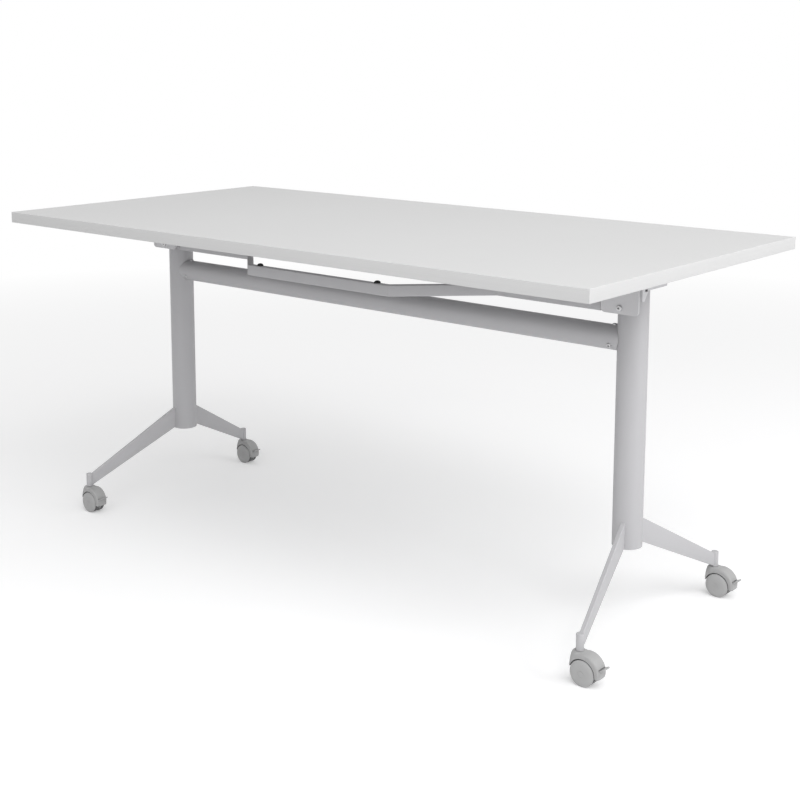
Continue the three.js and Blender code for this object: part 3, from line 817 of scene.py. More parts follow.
@dataclass(frozen=True)
class SocketScrew:
    """A screw head with a hexagon socket, standing on a face."""

    radius: float
    height: float
    dome: float
    socket: float
    socket_depth: float
    shank: float = 2.0 * MM
    shank_length: float = 0.0

    def surface(self, seat: np.ndarray, out: np.ndarray) -> Surface:
        """The head as a turned shape with a six sided socket.

        The profile runs from the shank's tip over the flat seat and the rounded
        crown to the socket's rim, and down the socket to its floor.

        Args:
            seat: The middle of the head's seat.
            out: The direction that the head faces.

        Returns:
            The placed surface.
        """
        crown = fillet([[self.radius, 0], [self.radius, self.height], [self.socket, self.height]],
                       self.dome, Arc.FINE, closed=False)
        floor = self.height - self.socket_depth
        tip = [[0, -self.shank_length], [self.shank, -self.shank_length], [self.shank, 0]]
        socket = [[self.socket, self.height], [self.socket, floor], [0, floor]]
        profile = np.concatenate([tip, crown[:-1], socket])
        turned = lathe(profile, Sides.SCREW, hexagon=slice(-len(socket), None))
        u = unit(np.cross(out, ASKEW))
        return turned.placed(seat, u, np.cross(out, u), out)


@dataclass
class TiltTop:
    """The board, its balancing sheet and the four strips round it."""

    sheet: float = 0.8 * MM
    joint: float = 0.15 * MM
    edge_radius: float = 0.9 * MM
    corner_radius: float = 1.0 * MM
    corner_rows: int = 6

    def build(self) -> None:
        """Makes the board, the sheet under it and the edge strips."""
        self.board()
        for side in Side:
            self.strip(side)

    def board(self) -> None:
        """The board and the grey sheet glued under it, whose darker grey is painted shade that darkens the
        parts under the top: flat plates with a fine break along each edge.
        """
        box = NodeBox.of("tabletop_board")
        outline = QUARTERS * box.size[:2] / 2 + box.centre[:2]
        glue = box.low[2] + self.sheet
        plate = slab(outline, glue, box.high[2], self.joint, Arc.CHAMFER)
        add_piece("top_board", "top", plate, LAMINATE, ("tabletop_board",))
        # The sheet's darker grey is painted shade for the parts beneath the top
        backing = slab(outline, box.low[2], glue, self.joint, Arc.CHAMFER)
        add_piece("backing_shade_sheet", "top", backing, BACKING_SHADE)

    def strip(self, side: Side) -> None:
        """One edge strip: its section carried along the side.

        The outer edges are rounded in section. On the front and rear strips,
        which reach the table's corners, the outer face also falls back near
        each end by corner_fall.

        Args:
            side: The side of the top.
        """
        node = f"edge_band_{side.label}"
        box = NodeBox.of(node)
        out = np.array([*side.value, 0.0])
        along = np.abs(np.cross(out, Z_AXIS))
        depth = abs(box.size @ out)
        length = box.size @ along
        section = fillet(QUARTERS * [depth, box.size[2]] / 2,
                         [self.joint, self.edge_radius, self.edge_radius, self.joint])
        radius = self.corner_radius if side in (Side.FRONT, Side.REAR) else self.joint
        near = corner_steps(radius, self.corner_rows)
        places = np.concatenate([near, length - near[::-1]]) - length / 2
        fall = corner_fall(length / 2 - np.abs(places), radius)
        sections = np.repeat(section[None], len(places), axis=0)
        share = np.clip(section[:, 0] / depth + 0.5, 0, 1)
        sections[..., 0] -= fall[:, None] * share
        path = box.centre + places[:, None] * along
        strip = loft(carry(path, out, Z_AXIS, sections))
        add_piece(f"edge_strip_{side.label}", "top", strip, BAND, (node,))


@dataclass
class TiltBracket:
    """One tilt bracket with its stop bolt, pivot axle, wood screws, and a dark plate of painted shade behind
    its slot.
    """

    end: End
    # Bent sheet
    sheet: float = 3.0 * MM
    bend: float = 4.5 * MM
    softening: float = 0.35 * MM
    cheek_drop: float = 41.0 * MM
    outer_tab_drop: float = 60.0 * MM
    outer_tab_ys: tuple = (-39.5 * MM, -25.5 * MM)
    inner_tab_ys: tuple = (-28.0 * MM, -14.0 * MM)
    inner_tab_drop: float = 84.3 * MM
    channel_front: float = -48.0 * MM
    # Slot in the outer tab, and the dark plate behind it, painted shade seen through the slot
    slot_ys: tuple = (-38.0 * MM, -28.0 * MM)
    slot_drops: tuple = (37.5 * MM, 42.0 * MM)
    slot_margin: float = 0.5 * MM
    liner_lap: float = 1.0 * MM
    liner_thick: float = 1.2 * MM
    liner_gap: float = 0.1 * MM
    liner_rim: float = 0.2 * MM
    # Front flap
    flap_half: float = 41.0 * MM
    flap_corner: float = 9.0 * MM
    flap_rows: int = 8
    # Axle and screws
    axle_radius: float = 6.0 * MM
    axle_rounds: tuple = (0.8 * MM, 1.4 * MM)
    screw_x: float = 31.0 * MM
    screw_ys: tuple = (-33.0 * MM, 34.0 * MM)
    bolt: SocketScrew = SocketScrew(6.25 * MM, 3.5 * MM, 2.0 * MM, 2.5 * MM, 5.0 * MM, 4.0 * MM, 24.2 * MM)
    wood_screw: SocketScrew = SocketScrew(4.6 * MM, 2.4 * MM, 2.0 * MM, 1.6 * MM, 1.4 * MM)

    def __post_init__(self) -> None:
        """Finds the bracket's box, its middle in X, its half width and the height of its top."""
        self.box = NodeBox.of(f"tilt_bracket_{self.end.label}")
        self.x = self.box.centre[0]
        self.half = self.box.size[0] / 2
        self.roof = self.box.high[2]

    def build(self) -> None:
        """Makes the bracket and what is fastened to it."""
        label = self.end.label
        bent = self.channel() + self.flap()
        # The bracket's lighter paint is painted light
        add_piece(f"bracket_{label}", "top", bent, BRACKET_PAINTED_LIGHT, (f"tilt_bracket_{label}",),
                  soften=self.softening)
        head = NodeBox.of(f"stop_bolt_{label}")
        seat = np.array([self.x, self.box.low[1], head.centre[2]])
        bolt = self.bolt.surface(seat, -Y_AXIS)
        add_piece(f"bracket_bolt_{label}", "top", bolt, STEEL, (f"stop_bolt_{label}",))
        self.axle()
        under = self.roof - self.sheet
        xs = (self.x - self.screw_x, self.x + self.screw_x)
        seats = [np.array([x, y, under]) for x in xs for y in self.screw_ys]
        screws = joined(self.wood_screw.surface(seat, -Z_AXIS) for seat in seats)
        add_piece(f"wood_screws_{label}", "top", screws, STEEL)
        # The dark plate behind the slot is painted shade
        add_piece(f"slot_liner_{label}", "top", self.liner(), PLUG_AND_SLOT_SHADE)

    def drops(self, ys: np.ndarray, tab_ys: tuple, tab_drop: float) -> np.ndarray:
        """How far a side flap hangs at each Y: a tab in front, a slope between tab_ys, the cheek behind."""
        return np.interp(ys, tab_ys, (tab_drop, self.cheek_drop))

    def channel(self) -> Surface:
        """The top plate and both side flaps as one bent channel, carried along Y.

        The section is a U of even sheet with rounded bends. The flaps' lengths
        follow drops, and a slot goes through the outer flap.

        Returns:
            The channel.
        """
        rear = self.box.high[1]
        ys = np.unique([self.channel_front, *self.outer_tab_ys, *self.inner_tab_ys, *self.slot_ys, rear])
        outer = self.drops(ys, self.outer_tab_ys, self.outer_tab_drop)
        inner = self.drops(ys, self.inner_tab_ys, self.inner_tab_drop)
        high, lowest = self.slot_drops
        lows = np.minimum(lowest, outer - self.slot_margin)
        wall = self.half - self.sheet
        convex, hollow = self.bend, self.bend - self.sheet
        radii = [0, 0, 0, convex, convex, 0, 0, hollow, hollow, 0, 0, 0]
        sections = np.stack([fillet([
            [self.half, -o], [self.half, -low], [self.half, -high], [self.half, 0],
            [-self.half, 0], [-self.half, -i], [-wall, -i], [-wall, -self.sheet],
            [wall, -self.sheet], [wall, -high], [wall, -low], [wall, -o],
        ], radii) for o, i, low in zip(outer, inner, lows)])
        path = np.array([self.x, 0, self.roof]) + ys[:, None] * Y_AXIS
        rings = carry(path, self.end.value * X_AXIS, Z_AXIS, sections)
        # The slot is the section's second cell outside and its last but two inside
        outside, inside = 1, rings.shape[1] - 3
        first, last = np.searchsorted(ys, self.slot_ys)
        windows = tuple((ring, outside, inside) for ring in range(first, last))
        return loft(rings, windows=windows)

    def liner(self) -> Surface:
        """A dark plate that closes the outer flap's slot from inside, painted shade that makes the slot look
        black.

        Returns:
            The plate.
        """
        ys, drops = np.array(self.slot_ys), np.array(self.slot_drops)
        size = np.array([np.ptp(ys), np.ptp(drops)]) + 2 * self.liner_lap
        outline = QUARTERS * size / 2 + [ys.mean(), -drops.mean()]
        wall = self.half - self.sheet
        faces = np.sort(self.end.value * np.array([wall - self.liner_thick, wall - self.liner_gap]))
        plate = slab(outline, *faces, self.liner_rim, Arc.CHAMFER)
        return plate.placed(np.array([self.x, 0, self.roof]), Y_AXIS, Z_AXIS, X_AXIS)

    def flap(self) -> Surface:
        """The front flap: a strip that leaves the top plate, bends down and ends in round corners.

        Near the lower edge its half width falls back by corner_fall.

        Returns:
            The flap.
        """
        front, bottom = self.box.low[1:]
        middle = self.sheet / 2
        face, level = front + middle, self.roof - middle
        line = fillet([[self.channel_front, level], [face, level], [face, bottom]],
                      self.bend - middle, closed=False)
        near = corner_steps(self.flap_corner, self.flap_rows)[::-1]
        foot = np.column_stack([np.full(len(near), face), bottom + near])
        line = np.concatenate([line[:-1], foot])
        half = self.flap_half - corner_fall(line[:, 1] - bottom, self.flap_corner)
        tangent = unit(np.gradient(line, axis=0))
        tangent[-len(near):] = [0, -1]
        normal = np.column_stack([np.zeros(len(line)), -tangent[:, 1], tangent[:, 0]])
        sections = QUARTERS * np.column_stack([half, np.full(len(half), middle)])[:, None]
        path = np.column_stack([np.full(len(line), self.x), line])
        return loft(carry(path, X_AXIS, normal, sections))

    def axle(self) -> None:
        """The pivot axle: a pin with a domed head outside and a riveted tip inside."""
        node = f"pivot_axle_{self.end.label}"
        box = NodeBox.of(node)
        radius, head = self.axle_radius, box.size[2] / 2
        reach, neck = box.size[0], box.size[0] - self.sheet
        tip, crown = self.axle_rounds
        profile = fillet([[0, 0], [radius, 0], [radius, neck], [head, neck], [head, reach], [0, reach]],
                         [0, tip, 0, 0, crown, 0], Arc.USUAL, closed=False)
        origin = np.array([box.inner_x(self.end), *box.centre[1:]])
        pin = lathe(profile, Sides.PIN).outward(origin, self.end)
        add_piece(f"axle_{self.end.label}", "top", pin, STEEL, (node,))


@dataclass
class ReleaseBar:
    """The bent release bar with its pins, rubber bumpers and return springs."""

    handle_half: float = 201.0 * MM
    arm_run: float = 160.0 * MM
    thickness: float = 14.0 * MM
    edge: float = 2.6 * MM
    end_gap: float = 2.0 * MM
    pin_radius: float = 5.0 * MM
    pin_root: float = 3.0 * MM
    pin_rounds: tuple = (0, 0.3 * MM, 0.6 * MM, 0)
    bumper_flange: float = 1.5 * MM
    bumper_step: float = 0.4 * MM
    bumper_rounds: tuple = (0, 0.2 * MM, 0.3 * MM, 0)
    dome_rows: int = 12
    wire: float = 1.6 * MM
    wire_corner: float = 0.49
    spring_radius: float = 6.6 * MM
    spring_turns: float = 3.5
    spring_rows: int = 140

    def build(self) -> None:
        """Makes the bar, its bumpers and its springs, and dresses the pawls."""
        box = NodeBox.of("release_bar")
        self.pin_y = box.high[1] - self.thickness / 2
        self.pin_z = box.centre[2]
        self.bar(box)
        for end in End:
            self.bumper(end)
            self.spring(end)
            dress_node(f"latch_pawl_{end.label}", STEEL)

    def bar(self, box: NodeBox) -> None:
        """A rounded rectangle carried along a mitred line, with a round pin at each end.

        At a corner the section leans along the mean of the two runs' normals,
        stretched by 1 / cos(half the turn), so that both runs keep their thickness.

        Args:
            box: The bar's box, pins included.
        """
        end_x = NodeBox.of("tilt_bracket_right").low[0] - self.end_gap
        handle_y = box.low[1] + self.thickness / 2
        arm_x = self.handle_half + self.arm_run
        right = np.array([[0, handle_y], [self.handle_half, handle_y],
                          [arm_x, self.pin_y], [end_x, self.pin_y]])
        line = np.concatenate([right[:0:-1] * [-1, 1], right])
        run = unit(np.diff(line, axis=0))
        before = np.concatenate([run[:1], run])
        mean = unit(before + np.concatenate([run, run[-1:]]))
        mean /= (mean * before).sum(axis=1)[:, None]
        normal = np.column_stack([-mean[:, 1], mean[:, 0], np.zeros(len(line))])
        path = np.column_stack([line, np.full(len(line), self.pin_z)])
        section = rectangle(self.thickness, box.size[2], self.edge)
        shape = loft(carry(path, normal, Z_AXIS, section))
        reach = box.high[0] - end_x + self.pin_root
        profile = fillet([[0, 0], [self.pin_radius, 0], [self.pin_radius, reach], [0, reach]],
                         self.pin_rounds, Arc.SMALL, closed=False)
        for end in End:
            root = np.array([end.value * (end_x - self.pin_root), self.pin_y, self.pin_z])
            shape += lathe(profile, Sides.THIN).outward(root, end)
        add_piece("release_handle", "release", shape, SILVER, ("release_bar",))

    def bumper(self, end: End) -> None:
        """A rubber bumper: a low flange under a dome, turned about Z.

        At an angle a the dome's radius is the flange's less a small step, times
        cos a, and its height over the flange is the full rise times sin a.

        Args:
            end: The end that it is nearer to.
        """
        node = f"release_bumper_{end.label}"
        box = NodeBox.of(node)
        low, high = self.bumper_flange, box.size[2]
        foot = box.radius - self.bumper_step
        flange = fillet([[0, 0], [box.radius, 0], [box.radius, low], [foot, low]],
                        self.bumper_rounds, Arc.SMALL, closed=False)
        angle = np.linspace(0, QUARTER_TURN, self.dome_rows + 1)[1:-1]
        arch = np.column_stack([foot * np.cos(angle), low + (high - low) * np.sin(angle)])
        profile = np.concatenate([flange, arch, [[0, high]]])
        dome = lathe(profile, Sides.SCREW).upright(box.floor_point + box.low[2] * Z_AXIS)
        add_piece(f"bumper_{end.label}", "release", dome, RUBBER, (node,))

    def spring(self, end: End) -> None:
        """A return spring: a round wire carried along a helix about the pin.

        At a turn angle a the wire's middle lies at the mean radius from the
        pin, at angle a, and moves along X evenly with a.

        Args:
            end: The end of the table.
        """
        node = f"return_spring_{end.label}"
        box = NodeBox.of(node)
        share = np.linspace(0, 1, self.spring_rows + 1)
        turn = FULL_TURN * self.spring_turns * share
        radial = np.column_stack([np.zeros_like(turn), np.cos(turn), np.sin(turn)])
        run = self.wire / 2 + (box.size[0] - self.wire) * share
        x = box.inner_x(end) + end.value * run
        path = np.array([0, self.pin_y, self.pin_z]) + self.spring_radius * radial + x[:, None] * X_AXIS
        tangent = unit(np.gradient(path, axis=0))
        section = rectangle(self.wire, self.wire, self.wire * self.wire_corner)
        coil = loft(carry(path, radial, np.cross(tangent, radial), section))
        add_piece(f"spring_{end.label}", "top", coil, STEEL, (node,))


@dataclass
class ColumnEnd:
    """One column with its plug, its head and the latch quadrant."""

    end: End
    wall: float = 2.0 * MM
    rim: float = 0.7 * MM
    plug_dish: float = 1.2 * MM
    plug_slope: tuple = (0.72, 0.8)
    plug_rounds: tuple = (0, 1.0 * MM, 1.0 * MM, 0.8 * MM, 0.4 * MM, 0)
    collar_height: float = 5.0 * MM
    collar_gap: float = 0.3 * MM
    collar_rounds: tuple = (0, 0.5 * MM, 0, 0.4 * MM, 1.2 * MM, 0)
    barrel_radius: float = 15.0 * MM
    barrel_rim: float = 0.8 * MM
    axle_bore: float = 6.3 * MM
    neck_half: float = 26.0 * MM
    neck_relief: float = 0.4 * MM
    neck_corner: float = 2.0 * MM
    neck_rim: float = 0.3 * MM
    neck_drop: float = 6.4 * MM
    lug_half: float = 10.0 * MM
    lug_height: float = 7.0 * MM
    lug_round: float = 0.8 * MM

    def build(self) -> None:
        """Makes the column, its plug and its head, and dresses the quadrant and the spigot."""
        label = self.end.label
        self.box = NodeBox.of(f"column_{label}")
        self.foot = self.box.floor_point
        self.radius = self.box.radius
        self.tube()
        self.plug()
        self.head()
        dress_node(f"latch_quadrant_{label}", STEEL)
        dress_node(f"beam_spigot_{label}", STEEL)

    def tube(self) -> None:
        """The column: a closed wall profile with rounded rims, turned about its axis."""
        label = self.end.label
        low, high = self.box.low[2], self.box.high[2]
        bore = self.radius - self.wall
        corners = [[bore, low], [self.radius, low], [self.radius, high], [bore, high]]
        wall = fillet(corners, self.rim, Arc.USUAL)
        post = lathe(wall, Sides.COLUMN, loop=True).upright(self.foot)
        add_piece(f"post_{label}", "base", post, SILVER, (f"column_{label}",))

    def plug(self) -> None:
        """The plug in the column's foot: a disc with a raised rim and a dished middle."""
        node = f"column_plug_{self.end.label}"
        box = NodeBox.of(node)
        radius, low, high = box.radius, box.low[2], box.high[2]
        dish = low + self.plug_dish
        middle, slope = radius * np.array(self.plug_slope)
        profile = fillet([[0, dish], [middle, dish], [slope, low], [radius, low], [radius, high], [0, high]],
                         self.plug_rounds, Arc.USUAL, closed=False)
        plug = lathe(profile, Sides.WHEEL).upright(self.foot)
        add_piece(f"plug_{self.end.label}", "base", plug, PLUG_AND_SLOT_SHADE, (node,))

    def head(self) -> None:
        """The head: a collar on the column and a cross barrel on a neck, with a stop lug behind."""
        node = f"column_head_{self.end.label}"
        box = NodeBox.of(node)
        pivot = NodeBox.of(f"pivot_axle_{self.end.label}").centre
        low, seat = box.low[2], self.box.high[2]
        crown = seat + self.collar_height
        bore = self.radius - self.wall - self.collar_gap
        collar = fillet([[0, low], [bore, low], [bore, seat], [self.radius, seat], [self.radius, crown],
                         [0, crown]], self.collar_rounds, Arc.USUAL, closed=False)
        reach = box.size[0]
        barrel = fillet([[self.axle_bore, 0], [self.barrel_radius, 0], [self.barrel_radius, reach],
                         [self.axle_bore, reach]], self.barrel_rim, Arc.SMALL)
        across = np.array([box.inner_x(self.end), *pivot[1:]])
        neck = rectangle(2 * self.neck_half, 2 * self.barrel_radius - self.neck_relief, self.neck_corner)
        middle = np.array([self.foot[0], pivot[1], 0])
        lug_depth = box.high[1] - pivot[1]
        lug = rectangle(2 * self.lug_half, lug_depth, self.lug_round)
        shape = joined((
            lathe(collar, Sides.COLUMN).upright(self.foot),
            lathe(barrel, loop=True).outward(across, self.end),
            slab(neck, seat, pivot[2] - self.neck_drop, self.neck_rim).upright(middle),
            slab(lug, seat, seat + self.lug_height, self.lug_round).upright(middle + lug_depth / 2 * Y_AXIS),
        ))
        add_piece(f"head_{self.end.label}", "base", shape, SILVER, (node,))


@dataclass
class CrossBeam:
    """The round beam between the columns and the clamp screws at its ends."""

    wall: float = 2.0 * MM
    gap: float = 0.3 * MM
    edge_fall: float = 0.3 * MM
    edge_run: float = 0.4 * MM
    screw_sink: float = 0.3 * MM
    screw_inset: float = 40.0 * MM
    screw_angles: tuple = (90.0, 210.0, 330.0)
    screw: SocketScrew = SocketScrew(5.2 * MM, 3.0 * MM, 2.2 * MM, 2.3 * MM, 4.5 * MM, 2.9 * MM, 3.0 * MM)

    def build(self) -> None:
        """Makes the beam and its screws."""
        box = NodeBox.of("beam")
        post = NodeBox.of("column_right")
        self.radius = box.size[2] / 2
        self.axis = np.array([0, *box.centre[1:]])
        self.post_x = post.centre[0]
        self.post_radius = post.radius
        self.tube()
        for end in End:
            self.screws(end)

    def tube(self) -> None:
        """The beam: a tube whose ends are saddled to the columns.

        A point of radius r at angle a lies at y = r cos a, and there the end
        stands at post_x - sqrt((post radius + gap)^2 - y^2). The rings go from
        the left end along the outside to the right end and back inside.
        """
        angle = FULL_TURN * np.arange(Sides.WHEEL) / Sides.WHEEL
        outer, inner = self.radius, self.radius - self.wall
        broken = outer - self.edge_fall
        radius = np.array([broken, outer, outer, broken, inner, inner])[:, None]
        inward = np.array([0, self.edge_run, self.edge_run, 0, 0, 0])[:, None]
        sign = np.array([-1, -1, 1, 1, 1, -1])[:, None]
        y = radius * np.cos(angle)
        saddle = self.post_x - np.sqrt((self.post_radius + self.gap) ** 2 - y**2)
        rings = np.stack([sign * (saddle - inward), y, radius * np.sin(angle)], axis=-1) + self.axis
        add_piece("cross_beam", "base", loft(rings, loop=True), SILVER, ("beam",))

    def screws(self, end: End) -> None:
        """The clamp screws round one end of the beam.

        Args:
            end: The end of the table.
        """
        middle = self.axis + end.value * (self.post_x - self.screw_inset) * X_AXIS
        angles = np.radians(self.screw_angles)
        outs = np.column_stack([np.zeros(len(angles)), -np.cos(angles), np.sin(angles)])
        seat = self.radius - self.screw_sink
        shape = joined(self.screw.surface(middle + seat * out, out) for out in outs)
        add_piece(f"clamp_screws_{end.label}", "base", shape, STEEL)


@dataclass
class Foot:
    """One blade foot and the socket at its end."""

    corner: Corner
    thickness: float = 8.0 * MM
    edge: float = 0.9 * MM
    root_top: float = 224.5 * MM
    root_bottom: float = 173.0 * MM
    end_top: float = 88.0 * MM
    end_bottom: float = 60.5 * MM
    weld: float = 0.2 * MM
    socket_wall: float = 2.2 * MM
    socket_roof: float = 5.0 * MM
    socket_rounds: tuple = (0, 0, 0.5 * MM, 0.5 * MM, 0.9 * MM, 0)

    def build(self) -> None:
        """Makes the blade and the socket."""
        label = self.corner.label
        post = NodeBox.of(f"column_{End(self.corner.value[0]).label}")
        socket = NodeBox.of(f"caster_socket_{label}")
        self.blade(label, post, socket)
        radius, low, high = socket.radius, socket.low[2], socket.high[2]
        bore, roof = radius - self.socket_wall, high - self.socket_roof
        profile = fillet([[0, roof], [bore, roof], [bore, low], [radius, low], [radius, high], [0, high]],
                         self.socket_rounds, Arc.USUAL, closed=False)
        cup = lathe(profile).upright(socket.floor_point)
        add_piece(f"socket_{label}", "base", cup, SILVER, (f"caster_socket_{label}",))

    def blade(self, label: str, post: NodeBox, socket: NodeBox) -> None:
        """The blade: a tapering rounded bar from the column's wall to the socket's.

        Its heights run evenly from the column's wall to the socket's axis. Each
        end follows the round wall that it meets: x = sqrt(R^2 - y^2) from that
        wall's axis.

        Args:
            label: The corner's name.
            post: The column's box.
            socket: The socket's box.
        """
        start = post.floor_point
        length = np.linalg.norm(socket.floor_point - start)
        along = unit(socket.floor_point - start)
        axes = np.array([along, np.cross(Z_AXIS, along), Z_AXIS])
        share = (length - socket.radius - post.radius) / (length - post.radius)
        rings = []
        # Each end's share of the taper, the wall that it meets, that wall's axis and the side met
        for place, wall, middle, facing in ((0.0, post, 0.0, 1), (share, socket, length, -1)):
            top = self.root_top + (self.end_top - self.root_top) * place
            bottom = self.root_bottom + (self.end_bottom - self.root_bottom) * place
            section = rectangle(self.thickness, top - bottom, self.edge)
            y, z = section[:, 0], section[:, 1] + (top + bottom) / 2
            x = middle + facing * (np.sqrt(wall.radius**2 - y**2) - self.weld)
            rings.append(start + np.column_stack([x, y, z]) @ axes)
        add_piece(f"blade_{label}", "base", loft(np.stack(rings)), SILVER, (f"foot_{label}",))


@dataclass
class Caster:
    """One hooded twin wheel caster with a brake pedal. Its shapes are made about the stem on the floor."""

    corner: Corner
    crease: float = 40.0
    gap: float = 0.3 * MM
    # Wheels, and treads coloured dark as painted shade in the gap under the hood
    trail: float = 13.0 * MM
    wheel_radius: float = 25.0 * MM
    wheel_face: float = 17.5 * MM
    wheel_fall: float = 3.5 * MM
    wheel_inner: float = 3.4 * MM
    wheel_bore: float = 3.3 * MM
    wheel_shoulder: float = 0.5 * MM
    wheel_edge: float = 0.4 * MM
    face_rows: int = 22
    tread_depth: float = 0.4 * MM
    tread_edge: float = 1.2 * MM
    bore_depth: float = 14.0 * MM
    hub_ring: float = 5.6 * MM
    ring_slope: float = 0.2 * MM
    groove_width: float = 0.4 * MM
    groove_depth: float = 0.45 * MM
    groove_reach: float = 0.7 * MM
    # Hood, web and hub
    hood_setback: float = 3.2 * MM
    hood_rise: float = 5.0 * MM
    hood_radius: float = 31.7 * MM
    hood_half: float = 14.6 * MM
    hood_core: float = 2.0 * MM
    hood_rows: int = 110
    hood_columns: int = 11
    share_digits: int = 5
    crown_fall: float = 0.9 * MM
    crown_power: int = 6
    rim: float = 2.6 * MM
    cavity: float = 27.2 * MM
    web_half: float = 3.0 * MM
    hub_radius: float = 9.0 * MM
    hood_angles: tuple = (-16.0, 176.0)
    nose_radius: float = 18.5 * MM
    nose_top: float = 11.5 * MM
    nose_blend: float = 3.0 * MM
    halvings: int = 40
    # Swivel stem
    seam_gap: float = 0.5 * MM
    stem_radius: float = 5.0 * MM
    stem_root: float = 2.0 * MM
    stem_tip: float = 0.8 * MM
    # Brake pedal, its shoe and its window, with angles in degrees
    pedal_place: float = 9.5
    pedal_slope: float = 30.0
    pedal_pivot: float = 26.5 * MM
    pedal_half: float = 10.5 * MM
    pedal_reach: float = 16.2 * MM
    pedal_root: float = 1.7 * MM
    pedal_thick: float = 3.0 * MM
    pedal_rim: float = 0.5 * MM
    pedal_rounds: tuple = (1.0 * MM, 1.3 * MM, 0.6 * MM, 0.4 * MM)
    shoe_round: float = 0.8 * MM
    shoe_radii: tuple = (29.0 * MM, 32.0 * MM)
    shoe_start: float = 2.5
    shoe_foot: float = -17.0
    shoe_rows: int = 9
    window_top: float = 18.5
    # Half widths of the window's edges, in radians and as a share of the hood's half
    window_step: float = 0.004
    lip_step: float = 0.006

    def build(self) -> None:
        """Makes the hood, both wheels with their treads, coloured dark as painted shade, and the pedal, and
        dresses the axle.
        """
        label = self.corner.label
        socket = NodeBox.of(f"caster_socket_{label}")
        self.origin = socket.floor_point
        self.seam = socket.low[2] - self.seam_gap
        self.stem_top = NodeBox.of(f"caster_hood_{label}").high[2]
        self.wheel_centre = np.array([self.trail, 0, self.wheel_radius])
        self.hood_centre = self.wheel_centre + [self.hood_setback, 0, self.hood_rise]
        hood = (self.hood() + self.stem()).upright(self.origin)
        add_piece(f"hood_{label}", f"caster_{label}", hood, CASTER, (f"caster_hood_{label}",), self.crease)
        dress_node(f"caster_axle_{label}", STEEL)
        for side, facing in (("front", -1), ("rear", 1)):
            place = (self.origin + self.wheel_centre, X_AXIS, Z_AXIS, facing * Y_AXIS)
            name, body = f"{side}_{label}", f"wheel_{side}_{label}"
            wheel, tread = self.wheel().placed(*place), self.tread().placed(*place)
            add_piece(body, body, wheel, WHEEL, (f"caster_wheel_{name}",), self.crease)
            # The band's dark finish is painted shade
            add_piece(f"tread_{name}", body, tread, TREAD_SHADE, (), self.crease)
        body = f"pedal_{label}"
        add_piece(body, body, self.pedal(), CASTER, (f"brake_pedal_{label}",), self.crease)

    def skin(self, angle: np.ndarray, y: np.ndarray) -> np.ndarray:
        """Distance from the hood's centre to its skin, over angle and y.

        The skin is where a smooth least of two distances is zero. One is to the
        drum over the wheels, whose radius falls by crown_fall (y / half)^6 and
        by a quarter circle at the rims. The other is to the nose round the
        stem, whose radius follows a quarter ellipse up to the seam under the
        socket. In front of the stem the drum keeps inside the nose's foot. The
        place is found by halving steps along each ray.

        Args:
            angle: (m, 1) angles about the hood's centre.
            y: (m, n) places across the hood.

        Returns:
            (m, n) distances.
        """
        edge = np.clip(np.abs(y) - (self.hood_half - self.rim), 0, self.rim)
        fall = self.crown_fall * (y / self.hood_half) ** self.crown_power
        fall += self.rim - np.sqrt(self.rim**2 - edge**2)
        level = self.seam - self.hood_centre[2]
        near = np.zeros_like(fall)
        far = 2 * (self.hood_radius - fall)
        for _ in range(self.halvings):
            middle = (near + far) / 2
            x, z = middle * np.cos(angle) + self.hood_centre[0], middle * np.sin(angle)
            height = np.clip(z / level, 0, 1)
            nose = self.nose_top + (self.nose_radius - self.nose_top) * np.sqrt(1 - height**2)
            in_plan = np.hypot(np.minimum(x, 0), y) - self.nose_radius
            to_drum = -soft_least(self.hood_radius - middle - fall, -in_plan, self.rim)
            distance = soft_least(np.hypot(x, y) - nose, to_drum, self.nose_blend)
            outside = np.maximum(distance, z - level) > 0
            near = np.where(outside, near, middle)
            far = np.where(outside, middle, far)
        return (near + far) / 2

    def hood(self) -> Surface:
        """The hood: a section of shell, wheel spaces and web, carried round the hood's centre.

        The wheel space is a circle of radius c about the wheels' centre. Along
        a ray of direction u from the hood's centre its distance is
        d.u + sqrt((d.u)^2 - d.d + c^2), where d leads to the wheels' centre.
        Each section is as wide as the hood, or as the nose's foot there if that
        is less. The pedal's window drops the skin to the wheel space.

        Returns:
            The hood about the stem.
        """
        top = math.radians(self.window_top)
        rows = np.linspace(*np.radians(self.hood_angles), self.hood_rows)
        window = [top - self.window_step, top + self.window_step]
        angle = np.unique(np.concatenate([rows, window]))[:, None]
        along = -self.hood_setback * np.cos(angle) - self.hood_rise * np.sin(angle)
        away = self.hood_setback**2 + self.hood_rise**2
        inner = along + np.sqrt(along**2 - away + self.cavity**2)
        front = np.minimum(self.hood_centre[0] + (inner + 2 * self.gap) * np.cos(angle), 0)
        half = np.minimum(self.hood_half, np.sqrt(self.nose_radius**2 - front**2))
        lip = (self.pedal_half + self.gap) / self.hood_half
        steps = np.linspace(0, 1, self.hood_columns)
        rim = self.rim / self.hood_half
        share = np.concatenate([steps * (1 - rim), [lip - self.lip_step, lip + self.lip_step],
                                1 - rim * (1 - np.sin(steps * QUARTER_TURN))])
        share = np.unique(np.round(np.concatenate([-share, share]), self.share_digits))[None]
        y = share * half
        in_window = (angle < top) & (np.abs(share) < lip)
        outer = np.maximum(np.where(in_window, 0, self.skin(angle, y)), inner + self.gap / 2)
        core = np.full_like(inner, self.hood_core)
        web = np.full_like(inner, self.web_half)
        radius = np.concatenate([outer, inner, inner, core, core, inner, inner], axis=1)
        across = np.concatenate([y, half, web, web, -web, -web, -half], axis=1)
        rings = np.stack([radius * np.cos(angle), across, radius * np.sin(angle)], axis=-1)
        hub, side = self.hub_radius, self.web_half
        disc = fillet([[0, -side], [hub, -side], [hub, side], [0, side]], self.gap, Arc.COARSE, closed=False)
